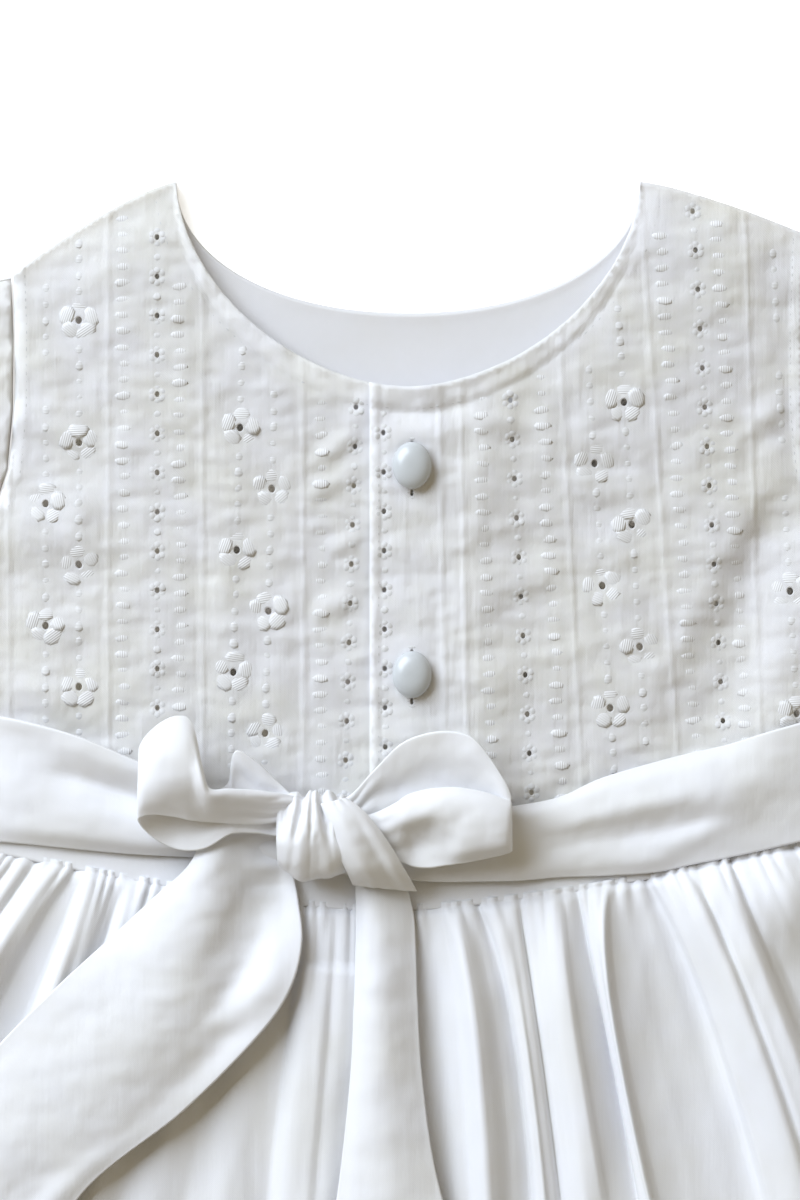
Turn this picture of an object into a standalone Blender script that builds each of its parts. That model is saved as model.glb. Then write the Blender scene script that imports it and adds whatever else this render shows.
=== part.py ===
"""A baby's christening gown laid flat on its back, neck towards +Y.

It has a buttoned bodice with set-in short sleeves, a waistband, a gathered skirt and a sash
tied in a bow. Every piece is a cloth wall of its own, and walls that are sewn together stay a
seam gap apart. Lengths are millimetres from the middle of the front waist seam, which an empty
puts at its place in the frame, and each mesh is scaled to metres as it is made.
"""

import math
from collections import namedtuple

import bmesh
import bpy

MM = 0.001

# Cloth and seams
CLOTH = 1.2            # wall of the bodice, bands, sash and bow
SKIRT_CLOTH = 1.5      # wall of the front skirt, measured straight up through its folds
FACING_CLOTH = 1.0
SEAM_GAP = 0.3
ARMHOLE_GAP = 0.6      # wider, because the two curved edges are cut into different steps
LAYER = CLOTH + SEAM_GAP

# Bodice
NECK_HALF_WIDTH = 60.3
NECK_TOP_Y = 190.0
FRONT_NECK_DEPTH = 53.5
BACK_NECK_DEPTH = 34.0
NECK_ROUNDNESS = 1.8
BACK_NECK_ROUNDNESS = 2.1
FACING_WIDTH = 13.0
FACING_DEPTH = 71.0
SHOULDER_TIP_X = 103.0
SHOULDER_DROP = {-1: 24.0, 1: 13.5}    # the wearer's right shoulder lies lower
LAP_EDGE_X = -10.0     # free edge of the front that laps over
UNDERLAP_X = 12.0      # hidden edge of the front below it, and the end of the doubled cloth
LAP_FOLD = 0.5         # extra thickness of the turned-back edge
LAP_RAMP_X = 34.0      # the lapping front is down on its own level again here

# Waist and skirt
SIDE_X = 112.0         # half the flat width of the waist and chest
WAIST_DIP = 0.015      # the seam rises by this much times |x| to the power 1.5
WAIST_DIP_X = -6.0
BAND_HEIGHT = 22.0
SKIRT_LENGTH = 520.0
SKIRT_SPREAD = 1.45
SKIRT_SPREAD_LENGTH = 255.0
HEM_RISE = 0.065       # share of its length by which the side seam is laid shorter
WAIST_Y = 165.0        # from the middle of the box to the middle of the waist seam

# How far the front stands off the back
WAIST_CROWN = 2.5
BODICE_CROWN = 3.6
DRAG_RIDGE = 3.2
DRAG_TROUGH = 1.2
PUCKER_HEIGHT = 0.9
PUCKER_REACH = 9.0

# Sleeves, pressed flat: the armhole runs from just below the shoulder tip to the underarm
SLEEVE_TOP_DROP = 1.0
UNDERARM_Y = 93.0
SLEEVE_HEM_X = (172.0, 152.0)         # upper and lower end of the hem
SLEEVE_HEM_DROP = (34.0, 90.0)        # how far each lies below the top of the armhole
SLEEVE_SWELL = 5.0                    # how far the long edges bow out
SLEEVE_EDGE_Z = 1.35                  # half the thickness of the pressed edges
SLEEVE_MOUTH_ROOM = 1.6
SLEEVE_PUFF = 8.0
SLEEVE_GATHERS = 5
SLEEVE_GATHER_HEIGHT = 1.1
SLEEVE_STEPS_UP = 18                  # points of a ring over the sleeve, and below it
SLEEVE_STEPS_DOWN = 14

BUTTON_DIAMETER = 11.0
BUTTON_HEIGHT = 3.4
BUTTON_X = 1.0
BUTTON_Y = {"button_upper": 116.0, "button_lower": 61.5}

WHITE_COTTON = (0.80, 0.80, 0.81)
WHITE_POPLIN = (0.88, 0.89, 0.92)
PEARL = (0.66, 0.71, 0.74)

Edge = namedtuple("Edge", "y x")
Fold = namedtuple("Fold", "valley crest near hem")
Stretch = namedtuple("Stretch", "x low high lift")
Tail = namedtuple("Tail", "left_x left_y right_x right_y lift fold")
Loop = namedtuple("Loop", "x low high z belly")

# The outer edge of a bodice panel, from the waist up the side seam and the armhole
SIDE_EDGE = (
    Edge(0, 112), Edge(60, 112), Edge(92, 112), Edge(99, 110.5), Edge(106, 107),
    Edge(115, 104), Edge(130, 102.6), Edge(150, 102.4), Edge(180, 103.5),
)

# Heights on the side edge where a bodice panel has a row of points, between its two ends
PANEL_LEVELS = (52, 66, 80, 92, 99, 106, 115, 130, 141, 150, 160)

# The front skirt's folds where they leave the seam: each one's first valley, its crest, and
# the height of the crest 40 mm below the seam and at the hem
FRONT_FOLDS = (
    Fold(-112, -106, 3.0, 7.0), Fold(-99, -93, 4.2, 9.0), Fold(-87, -76, 5.2, 8.5),
    Fold(-66, -60, 3.8, 9.5), Fold(-54, -48, 3.6, 7.5), Fold(-42, -35, 3.6, 9.0),
    Fold(-27.4, -20, 3.8, 8.0), Fold(-13, -6, 3.6, 9.5), Fold(1, 8, 4.2, 7.0),
    Fold(15.6, 22.5, 4.8, 8.5), Fold(27.6, 34, 5.4, 9.5), Fold(39.8, 48, 5.0, 7.5),
    Fold(57.5, 69, 6.0, 9.5), Fold(79.5, 91, 5.2, 8.0), Fold(101, 107, 3.0, 7.0),
)
FINE_ROWS = (0.0, 2.5, 8.0, 16.0, 26.0)
COARSE_ROWS = (40.0, 62.0, 92.0, 132.0, 184.0, 250.0, 330.0, 425.0, SKIRT_LENGTH)
BACK_ROWS = (0.0, 40.0, 92.0, 184.0, 330.0, SKIRT_LENGTH)

# The ties of the sash, from the side seam to the knot: lower and upper edge, and how far the
# middle of the cloth stands off what it lies on
SASH_LEFT = (
    Stretch(-112, 18.5, 52.0, 0.6), Stretch(-100, 17.6, 49.0, 1.2), Stretch(-86, 16.2, 44.0, 1.8),
    Stretch(-71, 14.5, 39.5, 1.8), Stretch(-56, 13.5, 33.0, 1.6), Stretch(-43, 12.5, 29.5, 1.4),
    Stretch(-33.2, 12.5, 27.5, 1.2),
)
SASH_RIGHT = (
    Stretch(-14.8, 10.0, 26.0, 1.0), Stretch(5.0, 8.0, 26.5, 1.6), Stretch(20, 8.0, 27.0, 1.8),
    Stretch(40, 9.0, 30.5, 1.9), Stretch(56, 10.0, 36.0, 1.9), Stretch(71, 11.5, 40.5, 1.8),
    Stretch(87, 14.6, 44.5, 1.4), Stretch(102, 18.2, 49.5, 1.0), Stretch(112, 20.6, 52.0, 0.6),
)

# The tails of the bow, from the knot to the cut end: both edges, how far the tail lies above
# the waist, and the height of its lengthwise folds
TAIL_LEFT = (
    Tail(-54, 19, -34.6, 20, 7.0, 0.4), Tail(-56, 12, -33.6, 12, 6.6, 1.0),
    Tail(-67, 3, -28, 3, 5.8, 2.0), Tail(-79, -8, -27, -8, 7.2, 2.4),
    Tail(-91, -19, -31, -20, 8.5, 2.2), Tail(-106, -34, -39, -32, 9.5, 2.0),
    Tail(-124, -55, -58, -51, 9.8, 1.8), Tail(-137, -78, -84, -72, 10.2, 1.6),
    Tail(-145, -103, -99, -99, 10.4, 1.4), Tail(-150, -129, -106, -128, 10.6, 1.2),
    Tail(-152, -158, -107, -146, 10.8, 1.0),
)
TAIL_RIGHT = (
    Tail(-13.8, 9.5, 0.6, 5.6, 3.4, 0.4), Tail(-13.6, 2, 1.2, 0, 3.8, 1.4),
    Tail(-13.6, -8, 1.8, -9, 6.2, 2.2), Tail(-14, -22, 2.2, -22, 8.0, 2.6),
    Tail(-15, -42, 2.6, -42, 9.4, 2.6), Tail(-17.5, -66, 7, -66, 9.8, 2.2),
    Tail(-21, -92, 14, -92, 10.2, 2.0), Tail(-23, -120, 19, -120, 10.4, 1.7),
    Tail(-23, -150, 22, -150, 10.6, 1.4), Tail(-22, -166, 23, -182, 10.8, 1.0),
)

# The loops of the bow, once round from the knot: the cloth's lower and upper edge, its height
# above the waist, and how far its middle bellies out of the line between them
LOOP_LEFT = (
    Loop(-33.2, 17, 27, 10.4, 0.2), Loop(-42, 14.5, 30, 10.2, 0.3), Loop(-52, 14, 36, 10.0, 0.3),
    Loop(-61, 17, 42, 10.2, 0.4), Loop(-67.5, 22, 45, 12.0, 0.8), Loop(-69.5, 25, 46, 15.4, 0.6),
    Loop(-66.5, 27, 49, 18.4, 0.8), Loop(-60, 28.5, 52, 19.8, 1.6), Loop(-53.5, 29.5, 43, 18.8, 2.0),
    Loop(-46, 30, 42.5, 18.0, 1.6), Loop(-39, 28.5, 39, 16.4, 1.0), Loop(-33.2, 24, 33.5, 14.2, 0.4),
)
LOOP_RIGHT = (
    Loop(-14.6, 21, 30, 10.0, 0.2), Loop(-7.5, 20, 38, 10.6, 0.2), Loop(0, 19, 44, 10.8, 0.2),
    Loop(9.5, 18, 47.3, 10.8, 0.2), Loop(18.5, 17.5, 43.5, 11.2, 0.4), Loop(24.5, 17, 38, 13.4, 0.8),
    Loop(26.6, 16.5, 33, 16.8, 1.0), Loop(23.0, 15, 31.8, 20.2, 1.8), Loop(15, 13, 33, 21.4, 2.4),
    Loop(5.5, 12.2, 31.8, 19.4, 2.2), Loop(-3.5, 14.4, 28.8, 15.6, 1.2),
    Loop(-11.5, 14.5, 25.5, 13.6, 0.4), Loop(-14.6, 16, 24, 12.8, 0.3),
)
# The strand that crosses the knot and turns under onto the right tail
STRAND = (
    Tail(-21.0, 27.5, -14.5, 29.5, 19.8, 0.3), Tail(-21.0, 22, -9.5, 24.5, 19.8, 0.6),
    Tail(-18.8, 15.5, -4.6, 17.5, 20.0, 0.9), Tail(-16.4, 10.8, -1.4, 10.0, 16.6, 0.8),
    Tail(-15, 7.8, 2.4, 5.0, 9.6, 0.5),
)

KNOT_X = (-32.6, -15.1)
KNOT_Y = (8.0, 32.0)
KNOT_Z = (7.0, 19.4)
KNOT_GATHERS = 5
KNOT_GATHER_SHARE = 0.93    # girth in the hollow between two gathers
KNOT_END_SHARE = 0.55       # girth at the ends
KNOT_UNDER_SHARE = 0.18     # how far it bellies down, as a share of its height
KNOT_RING_POINTS = 16


def smooth(share):
    """An even ramp from 0 to 1."""
    share = min(1.0, max(0.0, share))
    return share * share * (3.0 - 2.0 * share)


def mix(first, last, share):
    return first + (last - first) * share


def spline(rows, place):
    """The row at a place along a table, on a smooth curve through its rows."""
    first = min(int(place), len(rows) - 2)
    share = place - first
    around = [rows[min(max(first + step, 0), len(rows) - 1)] for step in (-1, 0, 1, 2)]
    values = []
    for before, start, end, after in zip(*around):
        bend = 2 * before - 5 * start + 4 * end - after
        twist = 3 * start - before - 3 * end + after
        slope = end - before
        values.append(start + 0.5 * share * (slope + share * (bend + share * twist)))
    return type(rows[0])(*values)


def look_up(rows, key, value, at):
    """One column of a table at a value of another, on straight lines."""
    for row, after in zip(rows, rows[1:]):
        start = getattr(row, key)
        end = getattr(after, key)
        if at <= end:
            share = min(1.0, max(0.0, (at - start) / (end - start)))
            return mix(getattr(row, value), getattr(after, value), share)
    return getattr(rows[-1], value)


def spread(count):
    """Evenly spaced shares from 0 to 1."""
    return [step / (count - 1) for step in range(count)]


# The gown's cut, seen from above

def seam_y(x):
    return WAIST_DIP * abs(x - WAIST_DIP_X) ** 1.5


def band_top_y(x):
    return seam_y(x) + BAND_HEIGHT


def shoulder_y(x):
    side = -1 if x < 0 else 1
    out = max(0.0, (abs(x) - NECK_HALF_WIDTH) / (SHOULDER_TIP_X - NECK_HALF_WIDTH))
    return NECK_TOP_Y - SHOULDER_DROP[side] * out ** 1.3


def neck_y(x, half_width, depth, roundness):
    """The neck edge at x, or the shoulder seam beyond the neck."""
    if abs(x) >= half_width:
        return shoulder_y(x)
    return NECK_TOP_Y - depth * (1.0 - (abs(x) / half_width) ** roundness) ** (1.0 / roundness)


def side_x(y):
    return look_up(SIDE_EDGE, "y", "x", y)


def panel_rises(side):
    """Each row's share of the way from the waist to the shoulder tip, at the side edge."""
    low = band_top_y(side * SIDE_X) + SEAM_GAP
    top = shoulder_y(side * SHOULDER_TIP_X)
    return [0.0] + [(level - low) / (top - low) for level in PANEL_LEVELS] + [1.0]


# Heights: each is the underside of a layer of cloth

def facing_room(x, y):
    """Room for the neck facing below the front, 0 away from it."""
    reach = max(0.0, (NECK_TOP_Y + 4.0 - y) / (FACING_DEPTH + 4.0))
    radius = math.hypot(x / (NECK_HALF_WIDTH + FACING_WIDTH), reach)
    return (FACING_CLOTH + SEAM_GAP) * smooth((1.5 - radius) / 0.46)


def crown(x, y):
    """How far the front bodice stands off the back: full in the middle, down at the seams."""
    middle = 1.0 - min(1.0, abs(x) / side_x(y)) ** 4
    below_shoulder = smooth((shoulder_y(x) - y) / 45.0)
    above_waist = smooth((y - 10.0) / 60.0)
    return middle * below_shoulder * mix(WAIST_CROWN, WAIST_CROWN + BODICE_CROWN, above_waist)


def drag_fold(x, y):
    """The soft fold that drags from the right armhole down to the waist."""
    along = (y - 44.0) / (112.0 - 44.0)
    ridge_x = mix(79.0, 94.0, along)
    fade = smooth(along / 0.45) * smooth((1.2 - along) / 0.45)
    ridge = math.exp(-((x - ridge_x) / 8.0) ** 2)
    trough = math.exp(-((x - ridge_x + 16.0) / 8.0) ** 2)
    return fade * (DRAG_RIDGE * ridge - DRAG_TROUGH * trough)


def front_under(x, y):
    return LAYER + facing_room(x, y) + crown(x, y) + drag_fold(x, y)


def lap_lift(x):
    """The lapping front rides over the other one, and comes down beside it."""
    return (LAYER + 0.1) * smooth((LAP_RAMP_X - x) / (LAP_RAMP_X - UNDERLAP_X - 2.0))


def sash_under(x, y):
    """Above the band, the fronts and their lap."""
    lap = smooth((x - LAP_EDGE_X + 14.0) / 8.0) * smooth((LAP_RAMP_X + 4.0 - x) / 16.0)
    return 2 * LAYER + crown(x, y) + lap * (LAYER + LAP_FOLD)


# The skirt, from a place along the waist seam and a length down from it

def skirt_place(waist_x, down):
    grow = 1.0 + SKIRT_SPREAD * (1.0 - math.exp(-down / SKIRT_SPREAD_LENGTH))
    laid = 1.0 - HEM_RISE * (waist_x / SIDE_X) ** 2
    return waist_x * grow, seam_y(waist_x) - down * laid


def fold_height(waist_x, down):
    ends = [fold.valley for fold in FRONT_FOLDS[1:]] + [SIDE_X]
    for fold, end in zip(FRONT_FOLDS, ends):
        if waist_x <= end:
            break
    if waist_x < fold.crest:
        phase = (waist_x - fold.valley) / (fold.crest - fold.valley)
    else:
        phase = (end - waist_x) / (end - fold.crest)
    height = mix(fold.near, fold.hem, smooth((down - 40.0) / 380.0))
    grown = 0.12 + 0.88 * (1.0 - math.exp(-down / 15.0))
    return height * grown * smooth(phase)


def skirt_lift(waist_x):
    return WAIST_CROWN * (1.0 - (waist_x / SIDE_X) ** 4)


def back_fold(waist_x, down):
    """The back's folds are pressed by its own weight: low crests between flat lands."""
    return 0.22 * fold_height(waist_x, down) * (1.0 - (waist_x / SIDE_X) ** 4)


# Making pieces

def material(name, colour, roughness):
    made = bpy.data.materials.new(name)
    made.use_nodes = True
    shader = made.node_tree.nodes["Principled BSDF"]
    shader.inputs["Base Color"].default_value = (*colour, 1.0)
    shader.inputs["Roughness"].default_value = roughness
    return made


def add_piece(name, shape, colour, gown, location=(0.0, 0.0, 0.0), roughness=0.85):
    """A named object of its own, in metres, held by the gown's empty."""
    bmesh.ops.scale(shape, vec=(MM, MM, MM), verts=shape.verts)
    bmesh.ops.recalc_face_normals(shape, faces=shape.faces)
    mesh = bpy.data.meshes.new(name)
    shape.to_mesh(mesh)
    shape.free()
    mesh.materials.append(material(name, colour, roughness))
    piece = bpy.data.objects.new(name, mesh)
    bpy.context.collection.objects.link(piece)
    piece.parent = gown
    piece.location = [value * MM for value in location]
    return piece


def sheet_faces(rows):
    """Triangles between neighbouring rows, whose counts may differ."""
    faces = []
    for row, after in zip(rows, rows[1:]):
        here = 0
        there = 0
        while here < len(row) - 1 or there < len(after) - 1:
            next_here = (here + 1) / (len(row) - 1)
            next_there = (there + 1) / (len(after) - 1)
            if there == len(after) - 1 or (here < len(row) - 1 and next_here <= next_there):
                faces.append((row[here], row[here + 1], after[there]))
                here += 1
            else:
                faces.append((row[here], after[there + 1], after[there]))
                there += 1
    return faces


def wall(name, rows, colour, gown):
    """A wall from rows of (x, y, underside, thickness), thickened straight up."""
    shape = bmesh.new()
    under = [[shape.verts.new((x, y, z)) for x, y, z, thick in row] for row in rows]
    over = [[shape.verts.new((x, y, z + thick)) for x, y, z, thick in row] for row in rows]
    for layer in (under, over):
        for face in sheet_faces(layer):
            shape.faces.new(face)
    rims = []
    for layer in (under, over):
        rim = layer[0] + [row[-1] for row in layer[1:]]
        rims.append(rim + layer[-1][-2::-1] + [row[0] for row in layer[-2:0:-1]])
    lower, upper = rims
    for step in range(len(lower)):
        after = (step + 1) % len(lower)
        shape.faces.new((lower[step], lower[after], upper[after]))
        shape.faces.new((lower[step], upper[after], upper[step]))
    return add_piece(name, shape, colour, gown)


def ribbon(name, rows, colour, gown):
    """A strip of cloth in any attitude: an open sheet that Solidify gives its wall."""
    shape = bmesh.new()
    points = [[shape.verts.new(point) for point in row] for row in rows]
    for face in sheet_faces(points):
        shape.faces.new(face)
    piece = add_piece(name, shape, colour, gown)
    solidify = piece.modifiers.new("wall", "SOLIDIFY")
    solidify.thickness = CLOTH * MM
    solidify.offset = 0.0
    solidify.use_even_offset = True
    return piece


def tube(name, outer, inner, colour, gown):
    """A wall between two stacks of rings, open at both ends of the stack."""
    shape = bmesh.new()
    skins = []
    for rings in (outer, inner):
        skins.append([[shape.verts.new(point) for point in ring] for ring in rings])
    for skin in skins:
        for face in sheet_faces([ring + ring[:1] for ring in skin]):
            shape.faces.new(face)
    for end in (0, -1):
        rims = [skins[0][end] + skins[0][end][:1], skins[1][end] + skins[1][end][:1]]
        for face in sheet_faces(rims):
            shape.faces.new(face)
    return add_piece(name, shape, colour, gown)


# The pieces

def back_bodice(gown):
    rows = []
    for left_rise, right_rise in zip(panel_rises(-1), panel_rises(1)):
        row = []
        for across in spread(25):
            rise = mix(left_rise, right_rise, across)
            side = 2.0 * across - 1.0
            flat_x = side * SHOULDER_TIP_X
            top = neck_y(flat_x, NECK_HALF_WIDTH, BACK_NECK_DEPTH, BACK_NECK_ROUNDNESS)
            low = band_top_y(side * SIDE_X) + SEAM_GAP
            y = mix(low, top, rise)
            row.append((side * side_x(y), y, 0.0, CLOTH))
        rows.append(row)
    wall("back_bodice", rows, WHITE_COTTON, gown)


def back_neck_facing(gown):
    """A band round the inside of the back neck, wider than the front neck is deep."""
    rows = []
    outer_half = NECK_HALF_WIDTH + FACING_WIDTH
    for out in spread(4):
        row = []
        for across in spread(27):
            angle = math.pi * across
            x = -math.cos(angle) * mix(NECK_HALF_WIDTH, outer_half, out)
            inner = neck_y(-math.cos(angle) * NECK_HALF_WIDTH, NECK_HALF_WIDTH,
                           BACK_NECK_DEPTH, BACK_NECK_ROUNDNESS)
            outer = NECK_TOP_Y - FACING_DEPTH * math.sin(angle) ** 0.9
            y = min(mix(inner, outer, out), shoulder_y(x)) - SEAM_GAP
            row.append((x, y, LAYER, FACING_CLOTH))
        rows.append(row)
    wall("back_neck_facing", rows, WHITE_POPLIN, gown)


def front_bodice(name, side, inner_x, gown):
    """A front from its centre edge to the side seam and armhole. The right one laps over."""
    laps = side > 0
    rows = []
    for rise in panel_rises(side):
        row = []
        for across in spread(15):
            out = across ** 0.9
            flat_x = mix(inner_x, side * SHOULDER_TIP_X, out)
            top = neck_y(flat_x, NECK_HALF_WIDTH, FRONT_NECK_DEPTH, NECK_ROUNDNESS)
            low = band_top_y(mix(inner_x, side * SIDE_X, out)) + SEAM_GAP
            y = mix(low, top, rise)
            x = mix(inner_x, side * side_x(y), out)
            lift = lap_lift(x) if laps else 0.0
            doubled = LAP_FOLD if laps and x < UNDERLAP_X else 0.0
            row.append((x, y, front_under(x, y) + lift, CLOTH + doubled))
        rows.append(row)
    wall(name, rows, WHITE_COTTON, gown)


def waistband(name, front, gown):
    rows = []
    for rise in spread(3):
        row = []
        for across in spread(33):
            x = mix(-SIDE_X, SIDE_X, across)
            y = mix(seam_y(x) + SEAM_GAP, band_top_y(x), rise)
            row.append((x, y, LAYER + crown(x, y) if front else 0.0, CLOTH))
        rows.append(row)
    wall(name, rows, WHITE_POPLIN, gown)


def fold_columns(parts):
    """Places along the waist seam: each half of a fold in so many parts."""
    turns = []
    for fold in FRONT_FOLDS:
        turns += [fold.valley, fold.crest]
    turns.append(SIDE_X)
    columns = []
    for start, end in zip(turns, turns[1:]):
        columns += [mix(start, end, step / parts) for step in range(parts)]
    return columns + [SIDE_X]


def skirt_front(gown):
    """Fine puckers at the seam run into the folds, which open towards the hem."""
    rows = []
    for down in FINE_ROWS + COARSE_ROWS:
        fine = down in FINE_ROWS
        row = []
        for count, waist_x in enumerate(fold_columns(4 if fine else 2)):
            x, y = skirt_place(waist_x, down)
            z = LAYER + skirt_lift(waist_x) + fold_height(waist_x, down)
            z += back_fold(waist_x, down)
            if fine and count % 2 and abs(waist_x) < SIDE_X - 4.0:
                z += PUCKER_HEIGHT * math.exp(-down / PUCKER_REACH)
            row.append((x, y, z, SKIRT_CLOTH))
        rows.append(row)
    wall("skirt_front", rows, WHITE_POPLIN, gown)


def skirt_back(gown):
    rows = []
    for down in BACK_ROWS:
        row = []
        for waist_x in fold_columns(1):
            x, y = skirt_place(waist_x, down)
            row.append((x, y, back_fold(waist_x, down), CLOTH))
        rows.append(row)
    wall("skirt_back", rows, WHITE_POPLIN, gown)


def sleeve(name, side, gown):
    """A short puffed tube pressed flat: gathers at the armhole, a plain open hem."""
    armhole_top = shoulder_y(side * SHOULDER_TIP_X) - SLEEVE_TOP_DROP
    hem_y = [armhole_top - drop for drop in SLEEVE_HEM_DROP]
    outer = []
    inner = []
    for along in spread(7):
        swell = SLEEVE_SWELL * math.sin(math.pi * along) ** 0.8
        fullness = math.sin(math.pi * min(1.0, along * 0.8 + 0.14)) ** 1.3
        puff = SLEEVE_MOUTH_ROOM + SLEEVE_PUFF * fullness
        rings = ([], [])
        for upper, counts in ((True, SLEEVE_STEPS_UP), (False, SLEEVE_STEPS_DOWN)):
            for step in range(counts):
                across = 0.5 - 0.5 * math.cos(math.pi * step / counts)
                across = across if upper else 1.0 - across
                arm_y = mix(armhole_top, UNDERARM_Y, across)
                x = mix(side_x(arm_y) + ARMHOLE_GAP, mix(*SLEEVE_HEM_X, across), along)
                y = mix(arm_y, mix(*hem_y, across), along) + swell * (1.0 - 2.0 * across)
                round_off = math.sin(math.pi * across)
                gathers = math.sin(2 * math.pi * SLEEVE_GATHERS * across) ** 2
                gathers *= SLEEVE_GATHER_HEIGHT * (1.0 - smooth(along / 0.7)) * smooth(round_off / 0.5)
                rise = puff * smooth(round_off / 0.9) + gathers
                edge = min(1.0, round_off / 0.3) ** 0.5
                if upper:
                    z = SLEEVE_EDGE_Z * (1.0 + edge) + rise
                    z_in = max(z - CLOTH, SLEEVE_EDGE_Z + 0.15 * edge)
                else:
                    z = SLEEVE_EDGE_Z * (1.0 - edge)
                    z_in = min(z + CLOTH, SLEEVE_EDGE_Z - 0.15 * edge)
                rings[0].append((side * x, y, z))
                inward = CLOTH * (2.0 * across - 1.0) * (1.0 - smooth(round_off / 0.6))
                rings[1].append((side * x, y + inward, z_in))
        outer.append(rings[0])
        inner.append(rings[1])
    tube(name, outer, inner, WHITE_COTTON, gown)


def sash(name, stretches, gown):
    """A tie drawn into soft lengthwise folds over the band."""
    rows = []
    steps = 2 * (len(stretches) - 1) + 1
    for count in range(steps):
        here = spline(stretches, count / 2)
        row = []
        for across in spread(8):
            y = mix(here.low, here.high, across)
            fold = math.sin(math.pi * across) ** 0.6 + 0.35 * math.sin(math.pi * across ** 2) ** 4
            row.append((here.x, y, sash_under(here.x, y) + here.lift * fold, CLOTH))
        rows.append(row)
    wall(name, rows, WHITE_POPLIN, gown)


def tail(name, sections, gown):
    rows = []
    steps = 2 * (len(sections) - 1) + 1
    for count in range(steps):
        here = spline(sections, count / 2)
        row = []
        for across in spread(7):
            x = mix(here.left_x, here.right_x, across)
            y = mix(here.left_y, here.right_y, across)
            fold = here.fold * (math.sin(math.pi * across ** 1.5) ** 2 + 0.5 * smooth(across / 0.2))
            row.append((x, y, WAIST_CROWN + here.lift + fold, CLOTH))
        rows.append(row)
    wall(name, rows, WHITE_POPLIN, gown)


def bow_loop(name, sections, gown):
    rows = []
    steps = 2 * (len(sections) - 1) + 1
    for count in range(steps):
        here = spline(sections, count / 2)
        outward = 1.0 if count > steps / 2 else -1.0
        row = []
        for across in spread(6):
            belly = here.belly * math.sin(math.pi * across) * outward
            row.append((here.x, mix(here.low, here.high, across), WAIST_CROWN + here.z + belly))
        rows.append(row)
    ribbon(name, rows, WHITE_POPLIN, gown)


def bow_strand(gown):
    rows = []
    for count in range(2 * (len(STRAND) - 1) + 1):
        here = spline(STRAND, count / 2)
        row = []
        for across in spread(6):
            x = mix(here.left_x, here.right_x, across)
            y = mix(here.left_y, here.right_y, across)
            row.append((x, y, WAIST_CROWN + here.lift + here.fold * math.sin(math.pi * across)))
        rows.append(row)
    ribbon("bow_strand", rows, WHITE_POPLIN, gown)


def bow_knot(gown):
    """A drawn-up turn of cloth over a hidden core: gathers run across it from top to bottom."""
    shape = bmesh.new()
    middle_y = 0.5 * sum(KNOT_Y)
    half_width = 0.5 * (KNOT_Y[1] - KNOT_Y[0])
    belly = KNOT_UNDER_SHARE * (KNOT_Z[1] - KNOT_Z[0])
    base = WAIST_CROWN + KNOT_Z[0] + belly
    rings = []
    for count, across in enumerate(spread(2 * KNOT_GATHERS + 1)):
        girth = mix(KNOT_END_SHARE, 1.0, math.sin(math.pi * across) ** 0.6)
        girth *= KNOT_GATHER_SHARE if count % 2 else 1.0
        ring = []
        for step in range(KNOT_RING_POINTS):
            angle = 2 * math.pi * step / KNOT_RING_POINTS
            y = middle_y + half_width * girth * math.cos(angle)
            rise = max(0.0, math.sin(angle)) ** 0.8 * girth
            z = mix(base, WAIST_CROWN + KNOT_Z[1], rise) + belly * min(0.0, math.sin(angle))
            ring.append(shape.verts.new((mix(*KNOT_X, across), y, z)))
        rings.append(ring)
    for face in sheet_faces([ring + ring[:1] for ring in rings]):
        shape.faces.new(face)
    shape.faces.new(rings[0])
    shape.faces.new(rings[-1])
    add_piece("bow_knot", shape, WHITE_POPLIN, gown)


def button(name, y, gown):
    """A domed shank button, turned, just clear of the cloth it is sewn to."""
    radius = 0.5 * BUTTON_DIAMETER
    below = max(front_under(BUTTON_X, y + reach) for reach in (-radius, 0.0, radius))
    top = below + lap_lift(BUTTON_X) + CLOTH + LAP_FOLD
    profile = [(0.45 * radius, 0.0), (0.94 * radius, 0.55), (radius, 1.0)]
    for step in (1, 2, 3):
        angle = math.pi / 2 * step / 4
        profile.append((radius * math.cos(angle), 1.0 + (BUTTON_HEIGHT - 1.0) * math.sin(angle)))
    shape = bmesh.new()
    rings = []
    for reach, height in profile:
        ring = []
        for step in range(20):
            angle = 2 * math.pi * step / 20
            ring.append(shape.verts.new((reach * math.cos(angle), reach * math.sin(angle), height)))
        rings.append(ring)
    for face in sheet_faces([ring + ring[:1] for ring in rings]):
        shape.faces.new(face)
    shape.faces.new(rings[0])
    crest = shape.verts.new((0.0, 0.0, BUTTON_HEIGHT))
    last = rings[-1]
    for step in range(len(last)):
        shape.faces.new((last[step], last[(step + 1) % len(last)], crest))
    place = (BUTTON_X, y, top + SEAM_GAP)
    add_piece(name, shape, PEARL, gown, location=place, roughness=0.3)


def build():
    for old in list(bpy.data.objects):
        bpy.data.objects.remove(old)
    gown = bpy.data.objects.new("christening_gown", None)
    bpy.context.collection.objects.link(gown)
    gown.location = (0.0, WAIST_Y * MM, 0.0)
    back_bodice(gown)
    back_neck_facing(gown)
    front_bodice("front_bodice_left", -1, UNDERLAP_X, gown)
    front_bodice("front_bodice_right", 1, LAP_EDGE_X, gown)
    sleeve("sleeve_left", -1, gown)
    sleeve("sleeve_right", 1, gown)
    waistband("waistband_front", True, gown)
    waistband("waistband_back", False, gown)
    skirt_front(gown)
    skirt_back(gown)
    sash("sash_left", SASH_LEFT, gown)
    sash("sash_right", SASH_RIGHT, gown)
    tail("bow_tail_left", TAIL_LEFT, gown)
    tail("bow_tail_right", TAIL_RIGHT, gown)
    bow_loop("bow_loop_left", LOOP_LEFT, gown)
    bow_loop("bow_loop_right", LOOP_RIGHT, gown)
    bow_strand(gown)
    bow_knot(gown)
    for name, y in BUTTON_Y.items():
        button(name, y, gown)


build()
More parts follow.
